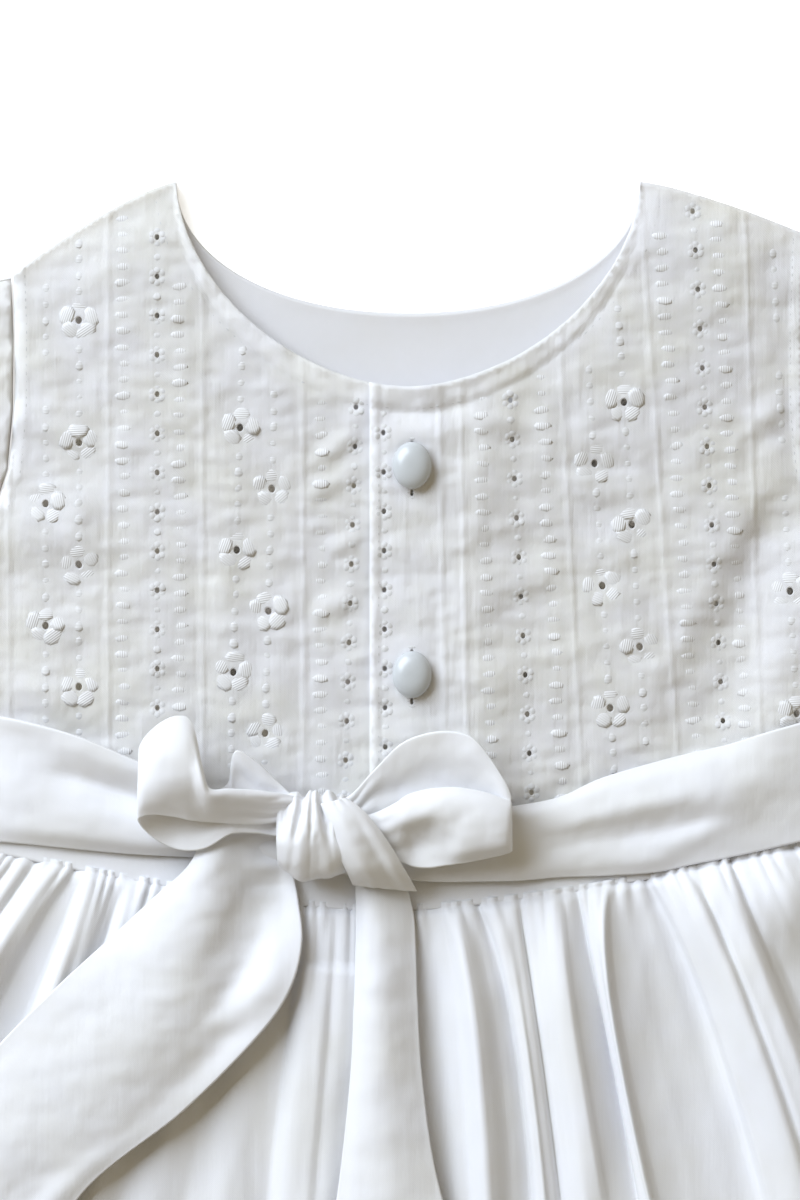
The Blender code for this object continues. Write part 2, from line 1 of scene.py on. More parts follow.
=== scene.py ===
"""Looks of a baby's christening gown laid flat on its back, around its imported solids.

Lengths in the tables are millimetres from the middle of the front waist seam: x towards the
wearer's left, y up the gown, heights up from the table that it lies on.
"""

import math
from collections import namedtuple

import bmesh
import bpy
from mathutils import Euler, Matrix, Vector, kdtree, noise
from mathutils.geometry import delaunay_2d_cdt


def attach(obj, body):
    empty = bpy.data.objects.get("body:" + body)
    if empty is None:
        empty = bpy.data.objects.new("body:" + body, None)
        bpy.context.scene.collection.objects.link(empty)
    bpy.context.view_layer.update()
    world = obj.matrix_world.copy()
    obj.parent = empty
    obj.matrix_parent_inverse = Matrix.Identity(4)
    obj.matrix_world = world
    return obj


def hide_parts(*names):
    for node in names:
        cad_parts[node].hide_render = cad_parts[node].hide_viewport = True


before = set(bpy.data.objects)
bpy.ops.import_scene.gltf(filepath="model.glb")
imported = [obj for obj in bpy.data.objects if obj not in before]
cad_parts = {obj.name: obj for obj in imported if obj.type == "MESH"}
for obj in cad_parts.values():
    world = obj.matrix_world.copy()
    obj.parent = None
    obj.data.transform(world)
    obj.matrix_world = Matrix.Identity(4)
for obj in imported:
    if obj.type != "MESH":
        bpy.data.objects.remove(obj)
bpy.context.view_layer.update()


# ---------------------------------------------------------------------------------------------
# Bodice back: one piece of white cotton from the neck to the waistband, cut beside the fronts
# from the same cloth. Its right side lies on the table.

MM = 0.001
WAIST_Y = 165.0            # from the middle of the box up to the middle of the waist seam
SEAM_GAP = 0.3
LAYER = 1.5                # one layer of the gown: a wall of 1.2, and the seam gap over it
COTTON_WALL = 0.5          # thickness of the embroidered cotton itself
SIDE_X = 112.0
BAND_HEIGHT = 22.0
NECK_HALF_WIDTH = 60.3
NECK_TOP_Y = 190.0
BACK_NECK = (34.0, 2.1)    # depth and roundness
FRONT_NECK = (53.5, 1.8)
SHOULDER_TIP_X = 103.0
SHOULDER_DROP = {-1: 24.0, 1: 13.5}
OUTER_X = 100.0            # a panel that ends further out ends at its side seam and armhole
SIDE_EDGE = (              # height above the waist, and half width there
    (0, 112), (60, 112), (92, 112), (99, 110.5), (106, 107), (115, 104), (130, 102.6),
    (150, 102.4), (180, 103.5),
)


def mix(first, last, share):
    return first + (last - first) * share


def uneven(x, y, z):
    """Smooth unevenness from about -1 to 1, the same for the same place."""
    return noise.noise(Vector((x, y, z)))


def seam_y(x):
    return 0.015 * abs(x + 6.0) ** 1.5


def band_top_y(x):
    return seam_y(x) + BAND_HEIGHT


def shoulder_y(x):
    out = max(0.0, (abs(x) - NECK_HALF_WIDTH) / (SHOULDER_TIP_X - NECK_HALF_WIDTH))
    return NECK_TOP_Y - SHOULDER_DROP[-1 if x < 0 else 1] * out ** 1.3


def neck_y(x, depth, roundness):
    if abs(x) >= NECK_HALF_WIDTH:
        return shoulder_y(x)
    inward = 1.0 - (abs(x) / NECK_HALF_WIDTH) ** roundness
    return NECK_TOP_Y - depth * inward ** (1.0 / roundness)


def side_x(y):
    for (low, start), (high, end) in zip(SIDE_EDGE, SIDE_EDGE[1:]):
        if y <= high:
            return mix(start, end, min(1.0, max(0.0, (y - low) / (high - low))))
    return SIDE_EDGE[-1][1]


def panel_outline(first_x, last_x, neck, pitch):
    """The cut edge of a bodice panel, round from its lower corner at first_x."""
    edge = []
    low_steps = max(2, round(abs(last_x - first_x) / pitch))
    for step in range(low_steps):
        x = mix(first_x, last_x, step / low_steps)
        edge.append((x, band_top_y(x) + SEAM_GAP))

    def climb(x, up):
        """The side of the panel at x: its own side seam and armhole, or a straight front edge."""
        outer = abs(x) > OUTER_X
        side = 1 if x > 0 else -1
        low = band_top_y(x) + SEAM_GAP
        tip = side * SHOULDER_TIP_X if outer else x
        high = shoulder_y(tip) if outer else neck_y(x, *neck)
        steps = round((high - low) / pitch)
        rows = []
        for step in range(steps):
            y = mix(low, high, step / steps)
            rows.append((side * side_x(y) if outer else x, y))
        rows.append((tip, high))
        return rows if up else rows[::-1]

    def top_x(x):
        return x if abs(x) < OUTER_X else math.copysign(SHOULDER_TIP_X, x)

    edge += climb(last_x, True)
    start = top_x(last_x)
    end = top_x(first_x)
    x = start
    while abs(end - x) > 1.2 * pitch:
        near_neck = abs(abs(x) - NECK_HALF_WIDTH) < 4.0
        x += math.copysign(pitch * (0.25 if near_neck else 0.8), end - start)
        edge.append((x, neck_y(x, *neck)))
    edge += climb(first_x, False)[:-1]
    return edge


# The chart of the cloth: columns that run down it, each with its place across at the chart's
# middle height, how far it leans across for each mm that it falls, and where its first motif is
Column = namedtuple("Column", "kind x lean first")
CHART_MIDDLE = 94.0
FLOWER_STEP = 15.9
FLOWER_STAGGER = 4.35
FLOWER_EYELET = (0.82, 1.0)
PETALS = 5
PETAL_REACH = 3.4
PETAL_SIZE = (4.7, 5.8, 0.46)        # each stitch: length, width and height
LADDER_STEP = 10.2
LADDER_EYELET = (0.60, 0.74)
LADDER_RING = 6
LADDER_RING_RADII = (1.6, 1.75)
LADDER_RING_SIZE = (2.1, 2.5, 0.42)
LADDER_DOT_SIZE = (2.8, 2.4, 0.42)
DOT_STEP = 4.2
DOT_SIZE = (3.1, 2.8, 0.43)
DASH_SIZE = (5.0, 2.7, 0.41)
BACK_COLUMNS = tuple(
    Column(kind, repeat * 50.2 + x, 0.0, first)
    for repeat in (-2, -1, 0, 1, 2)
    for kind, x, first in (
        ("flowers", 0.0, 145.0), ("tuck", 12.6, 0.0), ("tuck", 14.7, 0.0),
        ("ladder", 25.1, 148.0), ("dashes", 30.5, 150.0), ("tuck", 37.4, 0.0),
    )
)


def column_x(column, y):
    return column.x + column.lean * (CHART_MIDDLE - y)


Stitch = namedtuple("Stitch", "x y turn size")      # size is length, width and height
Eyelet = namedtuple("Eyelet", "x y radii turn")


def chart_motifs(columns, inside):
    """The eyelets and satin stitches of the columns, where a motif lies inside the piece."""
    eyelets = []
    stitches = []

    def flower(x, y, number):
        length, width, height = PETAL_SIZE
        wobble = uneven(x * 0.37, y * 0.41, number)
        eyelets.append(Eyelet(x, y, FLOWER_EYELET, 0.6 * wobble))
        for petal in range(PETALS):
            turn = math.radians(90.0 + 360.0 / PETALS * petal) + 0.5 * wobble
            grown = 1.0 + 0.2 * uneven(x, y, petal * 1.7)
            petal_x = x + PETAL_REACH * math.cos(turn)
            petal_y = y + PETAL_REACH * math.sin(turn)
            if inside(petal_x, petal_y, 1.8):
                stitches.append(Stitch(petal_x, petal_y, turn, (length, width * grown, height)))

    def ladder(x, y):
        eyelets.append(Eyelet(x, y, LADDER_EYELET, 0.0))
        for number in range(LADDER_RING):
            turn = math.radians(360.0 / LADDER_RING * number + 30.0)
            ring_x = x + LADDER_RING_RADII[0] * math.cos(turn)
            ring_y = y + LADDER_RING_RADII[1] * math.sin(turn)
            stitches.append(Stitch(ring_x, ring_y, turn, LADDER_RING_SIZE))

    for column in columns:
        if column.kind == "flowers":
            for row in range(-4, 9):
                y = column.first - FLOWER_STEP * row
                side = 1 if row % 2 else -1
                x = column_x(column, y)
                if inside(x + side * FLOWER_STAGGER, y, 9.5):
                    flower(x + side * FLOWER_STAGGER, y, row)
                for step in range(-2, 3):
                    dot_y = y + step * DOT_STEP
                    dot_x = column_x(column, dot_y) - side * FLOWER_STAGGER
                    if inside(dot_x, dot_y, 2.4):
                        stitches.append(Stitch(dot_x, dot_y, math.pi / 2, DOT_SIZE))
        elif column.kind == "ladder":
            for row in range(-5, 14):
                y = column.first - LADDER_STEP * row
                if inside(column_x(column, y), y, 2.4):
                    ladder(column_x(column, y), y)
                y -= 0.5 * LADDER_STEP
                if inside(column_x(column, y), y, 2.4):
                    stitches.append(Stitch(column_x(column, y), y, 0.0, LADDER_DOT_SIZE))
        elif column.kind == "dashes":
            for row in range(-12, 34):
                y = column.first - DOT_STEP * row
                if inside(column_x(column, y), y, 2.6):
                    stitches.append(Stitch(column_x(column, y), y, 0.0, DASH_SIZE))
    return eyelets, stitches


NECK_TURNING = 4.0         # motifs stay this much further from the neck's turned edge


def search_tree(places):
    """Finds the nearest of some flat places, by its number in their order."""
    tree = kdtree.KDTree(max(1, len(places)))
    for number, (x, y) in enumerate(places):
        tree.insert((x, y, 0.0), number)
    tree.balance()
    return tree


def inside_outline(edge, neck):
    """A test of whether a place is inside a bodice panel's edge, by at least a margin."""
    low_x = min(x for x, y in edge)
    high_x = max(x for x, y in edge)
    neck_low_y = NECK_TOP_Y - neck[0] - 1.0
    near = search_tree(edge)
    near_neck = search_tree([
        (x, y) for x, y in edge if abs(x) < NECK_HALF_WIDTH and y > neck_low_y
    ])

    def inside(x, y, margin):
        if not (low_x < x < high_x and abs(x) < side_x(y)):
            return False
        if not band_top_y(x) + SEAM_GAP < y < neck_y(x, *neck):
            return False
        if margin == 0.0:
            return True
        clear_of_neck = near_neck.find((x, y, 0.0))[2] > margin + NECK_TURNING
        return clear_of_neck and near.find((x, y, 0.0))[2] > margin

    return inside


TUCK_HALF_WIDTH = 0.5
EYELET_SIDES = 12
EYELET_RINGS = (1.0, 1.45)     # the cut, and a ring round it, as shares of the eyelet's radii


def cut_cloth(edge, inside, eyelets, columns, pitch):
    """Flat points and triangles of a piece, cut out at its eyelets, with points along tucks."""
    fixed = [Vector(point) for point in edge]
    low_y = min(y for x, y in edge)
    high_y = max(y for x, y in edge)
    for eyelet in eyelets:
        wide, high = eyelet.radii
        for grow in EYELET_RINGS:
            for step in range(EYELET_SIDES):
                angle = 2 * math.pi * step / EYELET_SIDES
                around = Vector((wide * math.cos(angle), high * math.sin(angle)))
                around.rotate(Euler((0, 0, eyelet.turn)).to_matrix().to_2x2())
                fixed.append(Vector((eyelet.x, eyelet.y)) + around * grow)
    tucks = [column for column in columns if column.kind == "tuck"]
    for tuck in tucks:
        for step in range(int((high_y - low_y) / pitch)):
            y = low_y + step * pitch
            for across in (-TUCK_HALF_WIDTH, 0.0, TUCK_HALF_WIDTH):
                x = column_x(tuck, y) + across
                if inside(x, y, 0.5 * pitch):
                    fixed.append(Vector((x, y)))
    near = search_tree(fixed)
    low_x = min(x for x, y in edge)
    high_x = max(x for x, y in edge)
    points = list(fixed)
    row = 0
    y = low_y
    while y < high_y:
        x = low_x + (0.5 * pitch if row % 2 else 0.0)
        while x < high_x:
            if inside(x, y, 0.0) and near.find((x, y, 0.0))[2] > 0.6 * pitch:
                points.append(Vector((x, y)))
            x += pitch
        y += 0.87 * pitch
        row += 1
    rim = [(step, (step + 1) % len(edge)) for step in range(len(edge))]
    cut = delaunay_2d_cdt(points, rim, [], 0, 1e-5, False)
    flat, triangles = cut[0], cut[2]
    holes = search_tree([(eyelet.x, eyelet.y) for eyelet in eyelets])
    kept = []
    for corners in triangles:
        middle = sum((flat[corner] for corner in corners), Vector((0, 0))) / 3
        if not inside(middle.x, middle.y, 0.0):
            continue
        if eyelets:
            eyelet = eyelets[holes.find((middle.x, middle.y, 0.0))[1]]
            away = middle - Vector((eyelet.x, eyelet.y))
            away.rotate(Euler((0, 0, -eyelet.turn)).to_matrix().to_2x2())
            if math.hypot(away.x / eyelet.radii[0], away.y / eyelet.radii[1]) < 0.96:
                continue
        kept.append(corners)
    return flat, kept


def gown_point(x, y, z):
    return (x * MM, (y + WAIST_Y) * MM, z * MM)


def new_object(name, data):
    made = bpy.data.objects.new(name, data)
    bpy.context.scene.collection.objects.link(made)
    return made


def sew(name, points, faces, material, thickness, keep_side=False, doubled=()):
    """A piece from points in millimetres. doubled is how far its cloth is turned in, 0 to 1."""
    shape = bmesh.new()
    layers = shape.verts.layers.float.new("doubled") if doubled else None
    corners = [shape.verts.new(gown_point(*point)) for point in points]
    for corner, share in zip(corners, doubled):
        corner[layers] = share
    for face in faces:
        shape.faces.new([corners[corner] for corner in face])
    loose = [corner for corner in shape.verts if not corner.link_faces]
    bmesh.ops.delete(shape, geom=loose, context="VERTS")
    if not keep_side and sum(face.normal.z * face.calc_area() for face in shape.faces) < 0:
        bmesh.ops.reverse_faces(shape, faces=shape.faces)
    for face in shape.faces:
        face.smooth = True
    mesh = bpy.data.meshes.new(name)
    shape.to_mesh(mesh)
    shape.free()
    mesh.materials.append(material)
    piece = new_object(name, mesh)
    if thickness:
        wall = piece.modifiers.new("wall", "SOLIDIFY")
        wall.thickness = thickness * MM
        wall.offset = 0.0
    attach(piece, "root")
    return piece


def add_sockets(tree, inputs, outputs):
    """The named sockets of a node group. An input has a kind, and its usual value or None."""
    for name, kind, value in inputs:
        socket = tree.interface.new_socket(name, in_out="INPUT", socket_type="NodeSocket" + kind)
        if value is not None:
            socket.default_value = value
    for name, kind in outputs:
        tree.interface.new_socket(name, in_out="OUTPUT", socket_type="NodeSocket" + kind)


def feed(tree, node, inputs):
    """Gives each named input of a node its value, or a link from another node's output."""
    for name, value in inputs.items():
        if isinstance(value, bpy.types.NodeSocket):
            tree.links.new(value, node.inputs[name])
        else:
            node.inputs[name].default_value = value


def add_node(tree, kind, inputs, **settings):
    """Adds a fed node, and gives back its outputs."""
    node = tree.nodes.new(kind)
    for name, value in settings.items():
        setattr(node, name, value)
    feed(tree, node, inputs)
    return node.outputs


def add_noise(tree, place, scale, detail, **inputs):
    fed = {"Vector": place, "Scale": scale, "Detail": detail, **inputs}
    return add_node(tree, "ShaderNodeTexNoise", fed)["Fac"]


def add_bump(tree, height, strength, distance, **inputs):
    """A bump, with its distance in the gown's millimetres."""
    fed = {"Height": height, "Strength": strength, "Distance": distance * MM, **inputs}
    return add_node(tree, "ShaderNodeBump", fed)["Normal"]


# A plain weave: warp and weft pass over each other like a small chequer, uneven along the thread

def plain_weave_group():
    group = bpy.data.node_groups.new("Plain weave", "ShaderNodeTree")
    inputs = (
        ("Cloth place", "Vector", None), ("Threads per metre", "Float", 3600.0),
        ("Slub", "Float", 0.35),
    )
    add_sockets(group, inputs, (("Height", "Float"), ("Shade", "Float")))
    entry = add_node(group, "NodeGroupInput", {})

    def maths(operation, *values):
        inputs = dict(enumerate(values))
        return add_node(group, "ShaderNodeMath", inputs, operation=operation)["Value"]

    slub = add_noise(group, entry["Cloth place"], 260.0, 2.0)
    across = add_node(group, "ShaderNodeSeparateXYZ", {"Vector": entry["Cloth place"]})
    turns = maths("MULTIPLY", entry["Threads per metre"], math.pi)
    drift = maths("MULTIPLY", slub, 2.0)
    waves = []
    for axis in ("X", "Y"):
        phase = maths("MULTIPLY", across[axis], turns)
        waves.append(maths("SINE", maths("ADD", phase, drift)))
    chequer = maths("MULTIPLY", *waves)
    slubbed = maths("MULTIPLY", slub, entry["Slub"])
    height = maths("ADD", maths("MULTIPLY", chequer, 0.5), slubbed)
    add_node(group, "NodeGroupOutput", {"Height": height, "Shade": slub})
    return group


plain_weave = plain_weave_group()


def new_material(name):
    """A material with its node tree and its Principled BSDF."""
    made = bpy.data.materials.new(name)
    made.use_nodes = True
    return made, made.node_tree, made.node_tree.nodes["Principled BSDF"]


def cloth_material(name, cool, warm, threads, weave_depth, crinkle, glow):
    """Woven white cotton. Light comes through it, less so where it is doubled at an edge."""
    made, tree, shader = new_material(name)
    place = add_node(tree, "ShaderNodeTexCoord", {})["Object"]
    weave = add_node(
        tree, "ShaderNodeGroup", {"Cloth place": place, "Threads per metre": threads},
        node_tree=plain_weave,
    )
    drift = add_noise(tree, place, 42.0, 3.0, Roughness=0.62)
    spread = add_node(tree, "ShaderNodeMapRange", {
        "Value": drift, "From Min": 0.36, "From Max": 0.62, "To Max": 0.9,
    })["Result"]
    fleck = add_node(
        tree, "ShaderNodeMath", {0: weave["Shade"], 1: 0.2, 2: spread}, operation="MULTIPLY_ADD"
    )["Value"]
    tone = add_node(
        tree, "ShaderNodeMix", {"A": (*warm, 1.0), "B": (*cool, 1.0), "Factor": fleck},
        data_type="RGBA",
    )["Result"]
    stretched = add_node(tree, "ShaderNodeMapping", {"Vector": place, "Scale": (1.0, 0.08, 1.0)})
    slub = add_noise(tree, stretched["Vector"], 620.0, 2.0)
    pucker = add_noise(tree, place, 330.0, 3.0)
    rough = add_node(tree, "ShaderNodeMath", {0: pucker, 1: slub}, operation="ADD")["Value"]
    crinkled = add_bump(tree, rough, 1.0, crinkle)
    relief = add_bump(tree, weave["Height"], 0.5, weave_depth, Normal=crinkled)
    feed(tree, shader, {
        "Base Color": tone, "Roughness": 0.85, "Sheen Weight": 0.12, "Sheen Roughness": 0.5,
        "Normal": relief,
    })
    warmed = add_node(
        tree, "ShaderNodeMix", {"A": tone, "B": (1.0, 0.96, 0.87, 1.0), "Factor": 1.0},
        data_type="RGBA", blend_type="MULTIPLY",
    )["Result"]
    through = add_node(tree, "ShaderNodeBsdfTranslucent", {"Color": warmed, "Normal": relief})
    layers = add_node(tree, "ShaderNodeAttribute", {}, attribute_name="doubled")["Fac"]
    share = add_node(tree, "ShaderNodeMapRange", {
        "Value": layers, "To Min": glow, "To Max": 0.3 * glow,
    })["Result"]
    blend = add_node(tree, "ShaderNodeMixShader", {
        "Fac": share, 1: shader.outputs["BSDF"], 2: through["BSDF"],
    })
    feed(tree, tree.nodes["Material Output"], {"Surface": blend["Shader"]})
    return made


embroidered_cotton = cloth_material(
    "embroidered_cotton", (0.885, 0.885, 0.92), (0.865, 0.86, 0.84), 3200.0, 0.10, 0.22, 0.33
)


# Satin stitches: each is a small padded dome of threads laid side by side across its length

def satin_thread_material():
    made, tree, shader = new_material("satin_thread")
    place = add_node(tree, "ShaderNodeAttribute", {}, attribute_name="stitch")["Vector"]
    along = add_node(tree, "ShaderNodeSeparateXYZ", {"Vector": place})["X"]
    turns = add_node(tree, "ShaderNodeMath", {0: along, 1: 26.0}, operation="MULTIPLY")["Value"]
    ridge = add_node(tree, "ShaderNodeMath", {0: turns}, operation="SINE")["Value"]
    gloss = add_node(tree, "ShaderNodeMapRange", {
        "Value": ridge, "From Min": -1.0, "To Min": 0.46, "To Max": 0.62,
    })["Result"]
    feed(tree, shader, {
        "Base Color": (0.70, 0.695, 0.70, 1.0), "Sheen Weight": 0.15, "Roughness": gloss,
        "Normal": add_bump(tree, ridge, 0.5, 0.08),
    })
    return made


satin_thread = satin_thread_material()


def satin_tree():
    """Geometry Nodes: one dome of satin stitch at each point, with the point's turn and size."""
    tree = bpy.data.node_groups.new("Satin stitches", "GeometryNodeTree")
    inputs = (
        ("Geometry", "Geometry", None), ("Segments", "Int", 8), ("Rings", "Int", 5),
        ("Thread", "Material", None),
    )
    add_sockets(tree, inputs, (("Geometry", "Geometry"),))
    entry = add_node(tree, "NodeGroupInput", {})
    dome = add_node(tree, "GeometryNodeMeshUVSphere", {
        "Segments": entry["Segments"], "Rings": entry["Rings"],
    })["Mesh"]
    place = add_node(tree, "GeometryNodeInputPosition", {})["Position"]
    kept = add_node(
        tree, "GeometryNodeStoreNamedAttribute", {"Geometry": dome, "Name": "stitch", "Value": place},
        data_type="FLOAT_VECTOR", domain="POINT",
    )["Geometry"]
    read = {
        name: add_node(
            tree, "GeometryNodeInputNamedAttribute", {"Name": name}, data_type="FLOAT_VECTOR"
        )["Attribute"]
        for name in ("turn", "size")
    }
    laid = add_node(tree, "GeometryNodeInstanceOnPoints", {
        "Points": entry["Geometry"], "Instance": kept, "Rotation": read["turn"],
        "Scale": read["size"],
    })["Instances"]
    real = add_node(tree, "GeometryNodeRealizeInstances", {"Geometry": laid})["Geometry"]
    soft = add_node(tree, "GeometryNodeSetShadeSmooth", {"Geometry": real})["Geometry"]
    dyed = add_node(tree, "GeometryNodeSetMaterial", {
        "Geometry": soft, "Material": entry["Thread"],
    })["Geometry"]
    add_node(tree, "NodeGroupOutput", {"Geometry": dyed})
    return tree


satin_stitches = satin_tree()


def grow_on_points(name, points, turns, sizes, tree, values):
    """A plain mesh of what a tree puts at the points, in metres, each with its turn and size."""
    mesh = bpy.data.meshes.new(name)
    mesh.from_pydata([tuple(point) for point in points], [], [])
    for attribute, rows in (("turn", turns), ("size", sizes)):
        layer = mesh.attributes.new(attribute, "FLOAT_VECTOR", "POINT")
        layer.data.foreach_set("vector", [value for row in rows for value in row])
    seed = new_object(name + "_points", mesh)
    maker = seed.modifiers.new("maker", "NODES")
    maker.node_group = tree
    for item in tree.interface.items_tree:
        if item.item_type == "SOCKET" and item.in_out == "INPUT" and item.name in values:
            maker[item.identifier] = values[item.name]
    evaluated = seed.evaluated_get(bpy.context.evaluated_depsgraph_get())
    made = bpy.data.meshes.new_from_object(evaluated)
    made.name = name
    bpy.data.objects.remove(seed)
    piece = new_object(name, made)
    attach(piece, "root")
    return piece


def surface_turn(place, u, v, turn, flip=False):
    """Where flat place (u, v) is on the cloth in metres, and the turn that lays a stitch on it."""
    here = Vector(gown_point(*place(u, v)))
    step = 0.4
    along = Vector(gown_point(*place(u + step, v))) - here
    across = Vector(gown_point(*place(u, v + step))) - here
    up = along.cross(across).normalized()
    if flip:
        up = -up
    lead = along.normalized() * math.cos(turn) + across.normalized() * math.sin(turn)
    lead = (lead - up * lead.dot(up)).normalized()
    return here, up, Matrix((lead, up.cross(lead), up)).transposed().to_euler()


STITCH_SINK = -0.06        # the domes' middles lie in the cloth, so that only their caps show


def embroider(name, stitches, place, proud, flip=False):
    """Lays the stitches on the cloth at place(u, v), so far proud of its middle."""
    points, turns, sizes = [], [], []
    for stitch in stitches:
        here, up, turn = surface_turn(place, stitch.x, stitch.y, stitch.turn, flip)
        length, width, height = stitch.size
        points.append(here + up * proud * MM)
        turns.append(turn)
        sizes.append([0.5 * length * MM, 0.5 * width * MM, height * MM])
    values = {"Thread": satin_thread}
    return grow_on_points(name, points, turns, sizes, satin_stitches, values)


def back_bodice_place(x, y):
    """The middle of the back's cloth: flat on the table, with the slight crinkle of its tucks."""
    return x, y, 0.72 + 0.16 * uneven(x / 7.0, y / 2.4, 3.0)


BACK_PITCH = 1.9
back_edge = panel_outline(-SIDE_X, SIDE_X, BACK_NECK, BACK_PITCH)
inside_back = inside_outline(back_edge, BACK_NECK)
back_eyelets, back_stitches = chart_motifs(BACK_COLUMNS, inside_back)
back_flat, back_triangles = cut_cloth(back_edge, inside_back, back_eyelets, BACK_COLUMNS, BACK_PITCH)
back_bodice = sew(
    "back_bodice_cloth", [back_bodice_place(*point) for point in back_flat], back_triangles,
    embroidered_cotton, COTTON_WALL,
)
back_embroidery = embroider(
    "back_bodice_embroidery", back_stitches, back_bodice_place, STITCH_SINK,
    flip=True,
)
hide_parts("back_bodice")


# ---------------------------------------------------------------------------------------------
# Back neck facing: a band of plain lawn sewn round the inside of the back neck and turned down.
# It is the smooth cloth that shows inside the neck.

FACING_WIDTH = 13.0
FACING_DEPTH = 71.0
FACING_CLOTH = 1.0         # room that it takes under the fronts
FACING_WALL = 0.6
FACING_ROWS = 40
FACING_COLUMNS = 150

plain_lawn = cloth_material(
    "plain_lawn", (0.865, 0.865, 0.90), (0.855, 0.85, 0.87), 3600.0, 0.06, 0.05, 0.25
)


def swell(distance, reach):
    return math.exp(-(distance / reach) ** 2)


def facing_place(out, across):
    angle = math.pi * across
    x = -math.cos(angle) * mix(NECK_HALF_WIDTH, NECK_HALF_WIDTH + FACING_WIDTH, out)
    inner = neck_y(-math.cos(angle) * NECK_HALF_WIDTH, *BACK_NECK)
    outer = NECK_TOP_Y - FACING_DEPTH * math.sin(angle) ** 0.9
    y = min(mix(inner, outer, out), shoulder_y(x)) - SEAM_GAP
    roll = 0.30 * swell(out, 0.05)
    return x, y, LAYER + 0.5 + roll + 0.12 * uneven(x / 22.0, y / 9.0, 8.0)


def grid_faces(rows, columns, closed=False):
    faces = []
    for row in range(rows - 1):
        for column in range(columns if closed else columns - 1):
            after = (column + 1) % columns
            faces.append((
                row * columns + column, row * columns + after,
                (row + 1) * columns + after, (row + 1) * columns + column,
            ))
    return faces


facing = sew(
    "back_neck_facing_cloth",
    [
        facing_place(row / (FACING_ROWS - 1), column / (FACING_COLUMNS - 1))
        for row in range(FACING_ROWS) for column in range(FACING_COLUMNS)
    ],
    grid_faces(FACING_ROWS, FACING_COLUMNS), plain_lawn, FACING_WALL,
)
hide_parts("back_neck_facing")


# ---------------------------------------------------------------------------------------------
# Bodice fronts: embroidered cotton, eyelet flowers and ladders between pin tucks. The wearer's
# left front laps over the other, and its folded edge and neck edge are turned and pressed.

FRONT_PITCH = 1.05
LAP_EDGE_X = -10.0
UNDERLAP_X = 12.0
LAP_RAMP_X = 34.0
LEFT_COLUMNS = (
    Column("flowers", -90.0, 0.0, 138.0), Column("tuck", -104.0, 0.0, 0),
    Column("tuck", -78.0, 0.0, 0),
    Column("dashes", -74.0, 0.0, 151.0), Column("ladder", -65.2, 0.0, 155.0),
    Column("dashes", -59.4, 0.0, 150.0), Column("tuck", -53.4, 0.0, 0),
    Column("flowers", -40.2, -0.028, 157.7), Column("tuck", -27.2, 0.0, 0),
    Column("dashes", -22.6, 0.0, 149.0), Column("ladder", -14.6, -0.03, 151.6),
)
RIGHT_COLUMNS = (
    Column("ladder", -6.2, 0.006, 155.1), Column("tuck", 8.8, 0.02, 0), Column("tuck", 14.4, 0.02, 0),
    Column("dashes", 20.0, 0.03, 150.0), Column("ladder", 28.7, 0.055, 153.4),
    Column("dashes", 36.8, 0.055, 151.5), Column("tuck", 42.2, 0.05, 0),
    Column("flowers", 54.3, 0.065, 148.4), Column("tuck", 66.6, 0.068, 0),
    Column("dashes", 71.4, 0.07, 150.6), Column("ladder", 79.4, 0.06, 151.6),
    Column("dashes", 85.2, 0.06, 149.6), Column("tuck", 90.2, 0.03, 0),
    Column("flowers", 103.2, 0.05, 147.0),
)
WRINKLES = (               # soft creases: ends, height and half width
    ((-106, 118), (-84, 104), 0.7, 3.5), ((-104, 128), (-78, 121), 0.5, 3.0),
    ((-100, 150), (-86, 128), 0.6, 4.0), ((-62, 150), (-50, 122), 0.5, 5.0),
    ((-106, 101), (-80, 99), 1.5, 8.0), ((-104, 58), (-82, 55), 1.0, 6.0),
    ((96, 132), (84, 120), 0.6, 3.0), ((34, 128), (46, 112), 0.5, 3.5),
    ((40, 112), (60, 108), 0.4, 3.0), ((-96, 60), (-70, 40), 0.5, 5.0),
    ((16, 128), (34, 126), 0.5, 2.6), ((48, 150), (70, 138), 0.4, 4.0),
    ((-24, 117), (-14, 124), 0.6, 2.4), ((-25, 109), (-14, 114.5), 0.6, 2.4),
    ((-21, 94), (-13.5, 97), 0.6, 2.2), ((-25, 77), (-14.5, 81.5), 0.8, 2.6),
    ((-8, 130), (16, 131), -0.9, 3.4), ((20, 84), (36, 88), 0.6, 5.0),
    ((44, 96), (58, 92), 0.5, 4.0), ((18, 62), (34, 60), 0.6, 5.0),
    ((-50, 96), (-44, 60), 0.45, 4.0), ((62, 30), (80, 40), 0.6, 4.0),
)


def smooth(share):
    share = min(1.0, max(0.0, share))
    return share * share * (3.0 - 2.0 * share)


def facing_room(x, y):
    reach = max(0.0, (NECK_TOP_Y + 4.0 - y) / (FACING_DEPTH + 4.0))
    radius = math.hypot(x / (NECK_HALF_WIDTH + FACING_WIDTH), reach)
    return (FACING_CLOTH + SEAM_GAP) * smooth((1.5 - radius) / 0.46)


def crown(x, y):
    middle = 1.0 - min(1.0, abs(x) / side_x(y)) ** 4
    below_shoulder = smooth((shoulder_y(x) - y) / 16.0)
    return middle * below_shoulder * mix(1.6, 3.2, smooth((y - 10.0) / 60.0))


def drag_hollow(x, y):
    """The hollow from the armhole of the wearer's left front to the waist. Its floor lies near
    its outer side, so that it falls slowly from the middle and rises fast to the side seam."""
    down_it = (y - 50.0) / 50.0
    from_floor = x - mix(78.0, 93.0, down_it)
    fade = smooth((y - 32.0) / 22.0) * smooth((112.0 - y) / 16.0)
    if from_floor < 0.0:
        return -2.4 * fade * (1.0 - smooth(-from_floor / max(4.0, mix(21.0, 8.0, down_it))))
    return fade * (5.0 * smooth(from_floor / 20.0) - 2.4) * smooth((side_x(y) - abs(x)) / 5.0)


